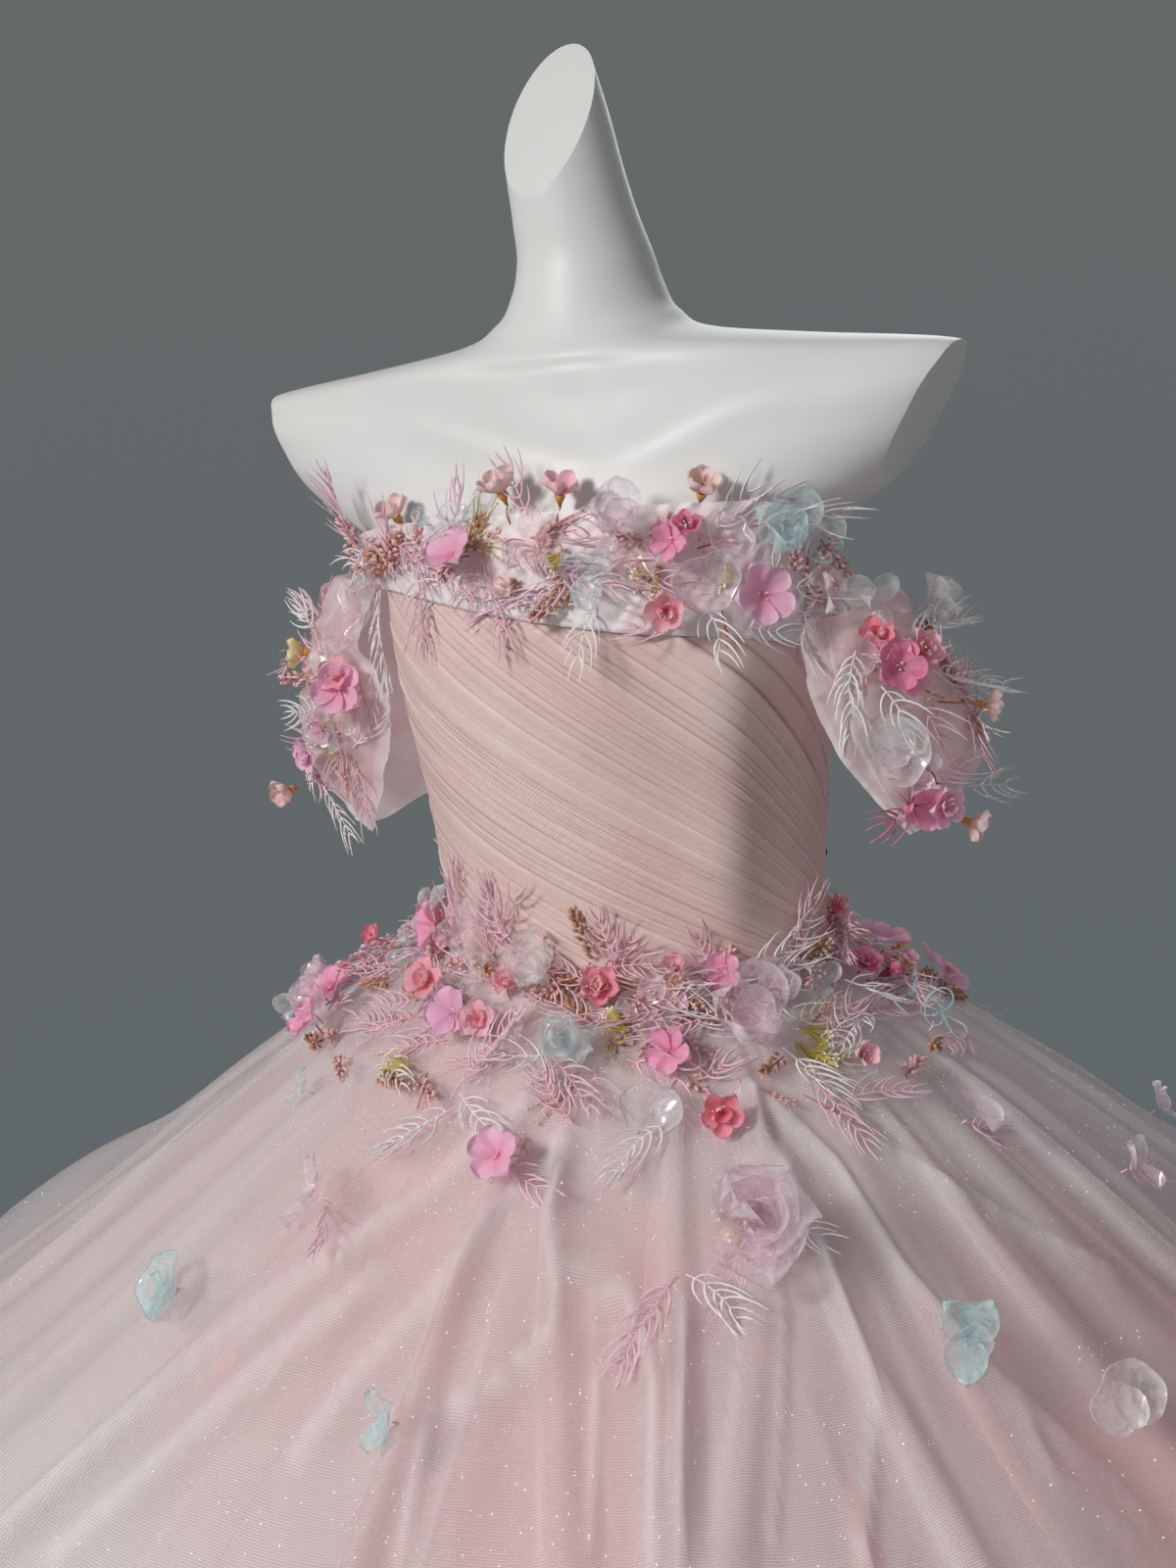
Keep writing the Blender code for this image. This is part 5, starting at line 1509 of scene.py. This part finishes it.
SEEN_AT_WAIST = ("""
fern 430 1036 344 1056 dusty_fern, fern 424 1018 366 1018 pink_fern,
fern 456 1060 382 1072 pink_fern, fern 526 1074 468 1082 dusty_fern,
fern 410 1040 356 1034 pink_fern, fern 440 1048 400 1062 dusty_fern,
fern 500 1060 480 1090 pink_fern, fern 625 986 608 948 pink_fern, fern 628 990 640 968 pink_fern,
ear 612 978 577 930 brown_ear, ear 600 1000 586 1030 brown_ear, ear 616 1014 640 1040 brown_ear,
ear 640 1030 664 1060 olive_ear, ear 622 1060 640 1084 olive_ear, ear 606 1010 566 996 brown_ear,
ear 692 1046 712 1018 brown_ear, ear 650 1052 618 1068 brown_ear, ear 660 1064 690 1090 dusty_ear,
ear 470 1010 440 1024 brown_ear, ear 536 1010 566 1014 brown_ear, ear 702 1098 724 1116 dusty_ear,
ear 700 1060 730 1074 pink_ear, fern 762 994 828 942 white_fern, fern 780 1006 824 982 white_fern,
fern 768 1022 816 1024 white_fern, fern 740 1010 714 1036 white_fern,
fern 864 1036 950 1020 pink_fern, fern 812 1042 856 1022 cream_fern,
fern 802 1080 888 1124 cream_fern, fern 826 1090 868 1078 cream_fern,
fern 868 1024 902 1050 pink_fern, fern 606 1090 619 1134 pink_fern,
fern 690 1092 704 1138 pink_fern, fern 712 1102 736 1086 pink_fern,
fern 640 1080 700 1100 pink_fern, fern 590 1092 560 1110 pink_fern,
fern 540 1160 514 1214 dusty_fern, twig 588 1106 548 1134 dusty_ear,
fern 720 1110 752 1152 pink_fern, fern 752 1100 786 1120 pink_fern, spray 818 1048 852 1058 gold,
spray 824 1076 850 1068 gold, twig 690 1036 688 1002 gold, twig 842 966 850 930 magenta,
fern 730 1000 718 972 pink_fern, fern 500 1000 474 976 pink_fern, ear 636 1004 660 1034 olive_ear,
ear 604 1042 576 1020 brown_ear, ear 652 1078 688 1046 brown_ear, spray 640 1052 620 1034 gold,
spray 812 1062 836 1082 gold, ear 430 1016 408 1000 brown_ear, fern 452 990 430 968 pink_fern,
fern 884 1000 930 1006 magenta_fern
""", """
disc 449 916 17 110 40 clear_white, pair 476 948 34 80 20 clear_pink,
pair 417 974 30 200 20 clear_grey, double 436 1001 32 150 12 coral,
pair 482 996 28 60 12 clear_white, double 516 1001 20 100 20 coral, five 462 1034 34 190 10 lilac,
double 488 1041 27 330 8 rosy, rose 550 986 42 90 15 clear_white, double 612 1008 27 90 15 red,
rose 574 1060 46 270 6 clear_grey, pair 562 1078 22 250 8 clear_aqua,
pair 590 1064 24 40 12 clear_aqua, pair 657 1024 32 60 15 clear_pink, five 684 1072 30 200 18 hot,
five 738 993 26 120 25 hot, disc 664 1132 32 270 4 clear_grey, double 736 1135 28 280 15 red,
rose 762 1046 62 90 8 clear_pink, spiky 855 926 15 70 55 coral, spiky 906 992 16 10 30 magenta,
double 882 984 24 120 20 magenta, disc 848 974 22 60 25 clear_pink,
disc 862 952 18 50 40 clear_white, loops 888 946 26 30 30 clear_blue,
loops 934 1010 22 0 15 clear_blue, loops 958 1040 34 340 10 clear_blue, five 690 1024 16 90 20 pink,
pair 520 1040 26 290 10 clear_pink, disc 790 1002 26 60 18 clear_pink,
pair 836 1000 26 30 20 clear_grey
""", """
408 966 383 956 19 0.55 red, 456 968 440 945 22 0.35 rosy, 696 1022 689 990 20 0.45 rosy,
856 1082 880 1077 20 0.55 rosy, 604 1024 604 1008 18 0.6 rosy, 520 1020 516 1002 16 0.6 coral""")
# where a sleeve's trim starts and ends along it, and what is seen there
TRIM_ON_SLEEVE = {"right": (0.45, 0.64, SEEN_ON_RIGHT_SLEEVE),
                  "left": (0.52, 0.72, SEEN_ON_LEFT_SLEEVE)}
NECKLINE_SPLIT = 8            # angle where its two lengths of flowers meet


def in_picture(degrees):
    """A direction in the world that points this way in the picture, from its right."""
    turn = math.radians(degrees)
    return np.array(math.cos(turn) * CAMERA_RIGHT + math.sin(turn) * CAMERA_UP)


class Carrier:
    """The cloth that things are sewn to, found by pixel or by nearness."""

    def __init__(self, pieces, centre):
        points, faces = [], []
        for piece in pieces:
            start = len(points)
            points += [v.co.copy() for v in piece.data.vertices]
            faces += [[start + k for k in p.vertices] for p in piece.data.polygons]
        self.tree = BVHTree.FromPolygons(points, faces)
        self.centre = Vector((*centre, 0))

    def nearest(self, point):
        """The cloth's nearest point and its outward direction."""
        spot, normal, _, _ = self.tree.find_nearest(point)
        return spot, self.outward(spot, normal)

    def outward(self, spot, normal):
        away = (spot - self.centre) * Vector((1, 1, 0))
        away.normalize()
        if normal.dot(away) < 0:
            normal = -normal
        return (normal + 0.5 * away).normalized()

    def at_pixel(self, x, y, lift):
        """Head, foot and outward direction for a thing seen at a pixel, off the cloth by lift."""
        across = (x - PICTURE[0] / 2) / FOCAL_PIXELS
        up = (PICTURE[1] / 2 - y) / FOCAL_PIXELS
        ray = (CAMERA_FORWARD + across * CAMERA_RIGHT + up * CAMERA_UP).normalized()
        spot, normal, _, _ = self.tree.ray_cast(CAMERA_AT, ray)
        if spot is None:
            found = [self.tree.find_nearest(CAMERA_AT + ray * depth)
                     for depth in np.arange(0.8, 1.9, 0.008)]
            spot = min(found, key=lambda entry: entry[3])[0]
            head = CAMERA_AT + ray * (spot - CAMERA_AT).dot(ray)
        else:
            facing = max(-self.outward(spot, normal).dot(ray), 0.35)
            head = spot - ray * lift / facing
        return head, *self.nearest(head)


def place_seen(posies, choose, carrier, sprigs, flowers, buds):
    """Puts the tabled things on their carrier. choose gives the posy for a foot's place."""
    towards = -CAMERA_FORWARD
    for kind, x0, y0, x1, y1, tone in listed(sprigs):
        _, foot, out = carrier.at_pixel(x0, y0, 0.002)
        posy = posies[choose(foot)]
        head, _, head_out = carrier.at_pixel(x1, y1, posy.draw.uniform(0.006, 0.014))
        along = head - foot
        posy.sprig(kind, along.length, tone, foot + out * 0.0015, out + head_out + 0.4 * towards,
                   along)
    for kind, x, y, size, turn, lean, tone in listed(flowers):
        size = size / 1000
        head, foot, out = carrier.at_pixel(x, y, 0.004 + size * (FLOWERS[kind][1] + 0.10))
        axis = (out + 0.7 * towards).normalized()
        posies[choose(foot)].flower(kind, head, foot, axis, in_picture(turn), size, tone, lean)
    for x0, y0, x1, y1, size, face, tone in listed(buds):
        size = size / 1000
        _, foot, out = carrier.at_pixel(x0, y0, 0.001)
        head, _, _ = carrier.at_pixel(x1, y1, 0.005 + size * 0.5)
        reach = (head - foot).normalized()
        axis = np.array(reach * (1 - face) + (out + towards).normalized() * face)
        axis /= np.linalg.norm(axis)
        posies[choose(foot)].bloom("bud", size, tone, head, axis, in_picture(20), foot, out)


# what fills the gaps and the hidden sides: kind, share, smallest and largest size, tones
FILL = (
    ("fern", 0.36, 0.030, 0.052, ("white_fern", "pink_fern", "dusty_fern", "pink_fern")),
    ("ear", 0.20, 0.014, 0.024, ("dusty_ear", "brown_ear", "pink_ear")),
    ("twig", 0.10, 0.018, 0.028, ("dusty_ear", "pink_ear")),
    ("spray", 0.04, 0.012, 0.018, ("gold",)),
    ("five", 0.08, 0.024, 0.036, ("pink", "hot", "lilac")),
    ("double", 0.08, 0.015, 0.022, ("coral", "red", "rosy")),
    ("bud", 0.05, 0.013, 0.016, ("peach", "rosy", "gold")),
    ("pair", 0.05, 0.024, 0.034, ("blush", "clear_pink", "clear_pink", "clear_aqua")),
    ("rose", 0.04, 0.034, 0.046, ("clear_pink", "blush", "clear_white")),
)


def scatter(posies, spot_at, count, seed, low_only=False):
    """Strews things at random. spot_at gives a posy's key, a point, outward and sideways."""
    draw = np.random.default_rng(seed)
    kinds = [row for row in FILL if row[0] in SPRIGS or not low_only]
    shares = np.array([row[1] for row in kinds])
    for _ in range(count):
        kind, _, small, large, tones = kinds[draw.choice(len(kinds), p=shares / shares.sum())]
        key, point, out, side = spot_at(draw)
        posy = posies[key]
        size = draw.uniform(small, large)
        tone = tones[draw.integers(len(tones))]
        turn = draw.uniform(0, 2 * math.pi)
        along = math.cos(turn) * side + 0.6 * math.sin(turn) * np.cross(out, side) + 0.12 * out
        if kind in SPRIGS:
            posy.sprig(kind, size, tone, point + 0.002 * out, out, along)
        else:
            head = point + out * (0.004 + size * (FLOWERS[kind][1] + 0.12))
            posy.flower(kind, head, point, out, along, size, tone, draw.uniform(5, 30))


def surface_spot(surface, u, v, step):
    """A point of a surface with its outward normal and its sideways direction."""
    point, beside, below = (surface(np.array(a), np.array(b))
                            for a, b in ((u, v), (u + step[0], v), (u, v + step[1])))
    side = beside - point
    out = np.cross(side, below - point)
    if out @ (point - np.array([0, CENTRE_Y, point[2]])) < 0:
        out = -out
    return point, out / np.linalg.norm(out), side / np.linalg.norm(side)


def add_neckline_flowers(finishes, band):
    posies = {"right": Posy(101), "left": Posy(102)}

    def side_of(foot):
        angle = math.atan2(foot[0], CENTRE_Y - foot[1])
        return "right" if angle < math.radians(NECKLINE_SPLIT) else "left"

    def spot(draw):
        point, out, side = surface_spot(lambda u, v: on_band(u, v, 2 * WALL),
                                        draw.uniform(-56, 72), draw.uniform(0.35, 0.98), (1, 0.02))
        return side_of(point), point, out, side

    place_seen(posies, side_of, Carrier([band], (0.0, CENTRE_Y)), *SEEN_ON_NECKLINE)
    scatter(posies, spot, count=34, seed=201, low_only=True)
    for side, posy in posies.items():
        posy.made("neckline_flowers_" + side, finishes, ["neckline_garland_" + side])


def add_sleeve_flowers(finishes, cloth_piece, name, sections, side):
    posies = {name: Posy(110 + side)}
    table = seated(sections, side)
    first, last, seen = TRIM_ON_SLEEVE[name]

    def spot(draw):
        point, out, across = surface_spot(
            lambda u, v: on_sleeve(table, side, u, v),
            draw.uniform(first, last), draw.uniform(0.08, 0.80), (0.01, 0.01))
        if out[0] * side <= 0:
            out = -out
        return name, point + 0.002 * out, out, across

    place_seen(posies, lambda foot: name, Carrier([cloth_piece], (side * 0.165, 0.01)), *seen)
    scatter(posies, spot, count=5, seed=210 + side)
    scatter(posies, spot, count=12, seed=214 + side, low_only=True)
    posies[name].made("sleeve_flowers_" + name, finishes, ["sleeve_garland_" + name])


def add_waist_flowers(finishes, carrier):
    posies = {k + 1: Posy(120 + k) for k in range(6)}

    def length_of(foot):
        angle = math.degrees(math.atan2(foot[0] - WAIST_X, CENTRE_Y - foot[1]))
        return int((angle + 40) % 360 // 60) + 1

    def between(first, last):
        def spot(draw):
            angle, level = draw.uniform(first, last), draw.uniform(-0.014, 0.058)
            if level < 0:
                found = surface_spot(lambda u, v: on_bodice(u, v, SKIN_GAP + 0.003),
                                     half_turn(angle), -level * 5, (1, 0.02))
            else:
                found = surface_spot(lambda u, v: on_skirt(u, v, 0.004), half_turn(angle), level,
                                     (1, 0.004))
            return length_of(found[0]), *found
        return spot

    place_seen(posies, length_of, carrier, *SEEN_AT_WAIST)
    scatter(posies, between(108, 318), count=172, seed=220)
    scatter(posies, between(-42, 108), count=72, seed=221, low_only=True)
    for number, posy in posies.items():
        posy.made("waist_flowers_%d" % number, finishes, ["waist_garland_%d" % number])


# what each loose applique is made of: kind, size in mm, tone
APPLIQUES = (
    "five 34 pink, fern 30 dusty_fern", "pair 40 clear_pink, fern 28 pink_fern",
    "rose 78 clear_pink, rose 44 blush, fern 52 pink_fern, spray 18 gold, fern 30 white_fern",
    "fern 52 pink_fern, fern 34 white_fern", "disc 40 clear_aqua, pair 26 clear_aqua",
    "pair 30 clear_aqua, disc 18 clear_aqua", "pair 42 clear_aqua, disc 26 clear_blue",
    "disc 38 clear_white, tear 24 clear_white", "tear 30 clear_pink, fern 16 pink_fern",
    "pair 34 clear_pink, fern 30 pink_fern", "pair 22 clear_aqua", "disc 30 clear_white",
    "pair 30 clear_white", "five 32 pink, fern 34 pink_fern", "pair 38 clear_aqua",
    "rose 50 clear_pink, fern 40 dusty_fern", "disc 34 clear_white, fern 26 pink_fern",
    "five 32 lilac, fern 30 white_fern", "pair 30 clear_pink",
)


def add_appliques(finishes, skirt):
    carrier = Carrier([skirt], (WAIST_X, CENTRE_Y))
    for number, things in enumerate(APPLIQUES):
        node_name = "skirt_applique_%02d" % (number + 1)
        low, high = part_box(node_name)
        spot, out = carrier.nearest((Vector(low) + Vector(high)) / 2)
        side = Vector((0, 0, 1)).cross(out).normalized()
        fall = out.cross(side) * -1
        posy = Posy(300 + number)
        for order, (kind, size, tone) in enumerate(listed(things)):
            size = size / 1000
            if kind in SPRIGS:
                turn = math.radians(posy.draw.uniform(200, 340))
                along = math.cos(turn) * side - math.sin(turn) * fall
                posy.sprig(kind, size, tone, spot + out * 0.002 + along * 0.004, out, along)
            else:
                lift = 0.003 + size * (FLOWERS[kind][1] + 0.06)
                head = spot + out * lift + fall * 0.006 * order
                posy.flower(kind, head, spot, out, fall, size, tone, 6 + 8 * order)
        posy.made("skirt_" + node_name.split("_", 1)[1], finishes, [node_name],
                  "clear_petal" if number % 2 else "flowers")


def add_flowers(pieces):
    finishes = [petal_cloth(), clear_film(), sprig_skin()]
    skirt = pieces["overskirt_tulle"]
    add_neckline_flowers(finishes, pieces["neckline_organza_front"])
    for name, sections, side in SLEEVES:
        add_sleeve_flowers(finishes, pieces["sleeve_organza_" + name], name, sections, side)
    add_waist_flowers(finishes, Carrier([pieces["bodice_front_tulle"], skirt],
                                        (WAIST_X, CENTRE_Y)))
    add_appliques(finishes, skirt)


# ---- stage, light and camera
def add_floor():
    mesh = bmesh.new()
    bmesh.ops.create_circle(mesh, cap_ends=True, segments=96, radius=2.6)
    floor = finished("floor", mesh)
    floor.location.z = -0.0008
    floor.data.materials.append(floor_finish())


def area_light(name, at, target, size, power, colour):
    data = bpy.data.lights.new(name, "AREA")
    data.shape = "RECTANGLE"
    data.size = data.size_y = size
    data.energy = power
    data.color = colour
    light = linked(name, data)
    light.location = at
    direction = Vector(target) - Vector(at)
    light.rotation_euler = direction.to_track_quat("-Z", "Y").to_euler()
    return data


def add_lights():
    area_light("key", (-0.70, -2.35, 2.50), (0.0, 0.0, 1.15), size=0.55, power=47,
               colour=(1.0, 0.985, 0.965))
    low = area_light("skirt", (0.40, -2.5, 1.75), (0.20, -0.34, 0.86), size=0.7, power=0.30,
                     colour=(1.0, 0.98, 0.96))
    low.spread = math.radians(24)
    area_light("fill", (2.4, -1.6, 1.8), (0.0, 0.0, 1.1), size=1.6, power=3,
               colour=(0.97, 0.96, 1.0))
    area_light("back", (-0.6, 2.6, 2.4), (0.0, 0.0, 1.1), size=1.4, power=20,
               colour=(0.94, 0.97, 1.0))


def add_world():
    """A grey backdrop, a little warmer above, for what is seen, and an even grey light."""
    world = bpy.data.worlds.new("studio")
    bpy.context.scene.world = world
    s = Shader(world, "ShaderNodeOutputWorld")
    direction = s.node("ShaderNodeSeparateXYZ", {0: s.place("Generated")})
    climb = s.stretch(direction.outputs["Z"], -0.45, 0.15, 0.0, 1.0)
    colour = s.mix(climb, (0.118, 0.138, 0.148, 1), (0.128, 0.142, 0.142, 1))
    seen = s.node("ShaderNodeBackground", {"Color": colour, "Strength": 1.0})
    light = s.node("ShaderNodeBackground", {"Color": (0.90, 0.92, 0.95, 1), "Strength": 0.18})
    ray = s.node("ShaderNodeLightPath").outputs["Is Camera Ray"]
    s.close(s.blend(ray, light, seen))


def add_camera():
    data = bpy.data.cameras.new("camera")
    data.lens = CAMERA_LENS
    data.sensor_width = SENSOR
    data.sensor_fit = "AUTO"
    camera = linked("camera", data)
    turn = Matrix((CAMERA_RIGHT, CAMERA_UP, -CAMERA_FORWARD)).transposed().to_4x4()
    camera.matrix_world = Matrix.Translation(CAMERA_AT) @ turn
    bpy.context.scene.camera = camera


bpy.context.scene.view_settings.view_transform = "Standard"
add_camera()
add_form()
finish_stand()
add_bodice()
add_bands(organza("band_organza", (0.98, 0.86, 0.86, 1), (0.99, 0.94, 0.94, 1), cover=0.84,
                  glow=0.12))
add_sleeves(organza("sleeve_organza", (0.97, 0.70, 0.72, 1), (0.98, 0.82, 0.83, 1), cover=0.62,
                    glow=0.44))
add_skirts()
add_flowers(bpy.data.objects)
add_floor()
add_lights()
add_world()
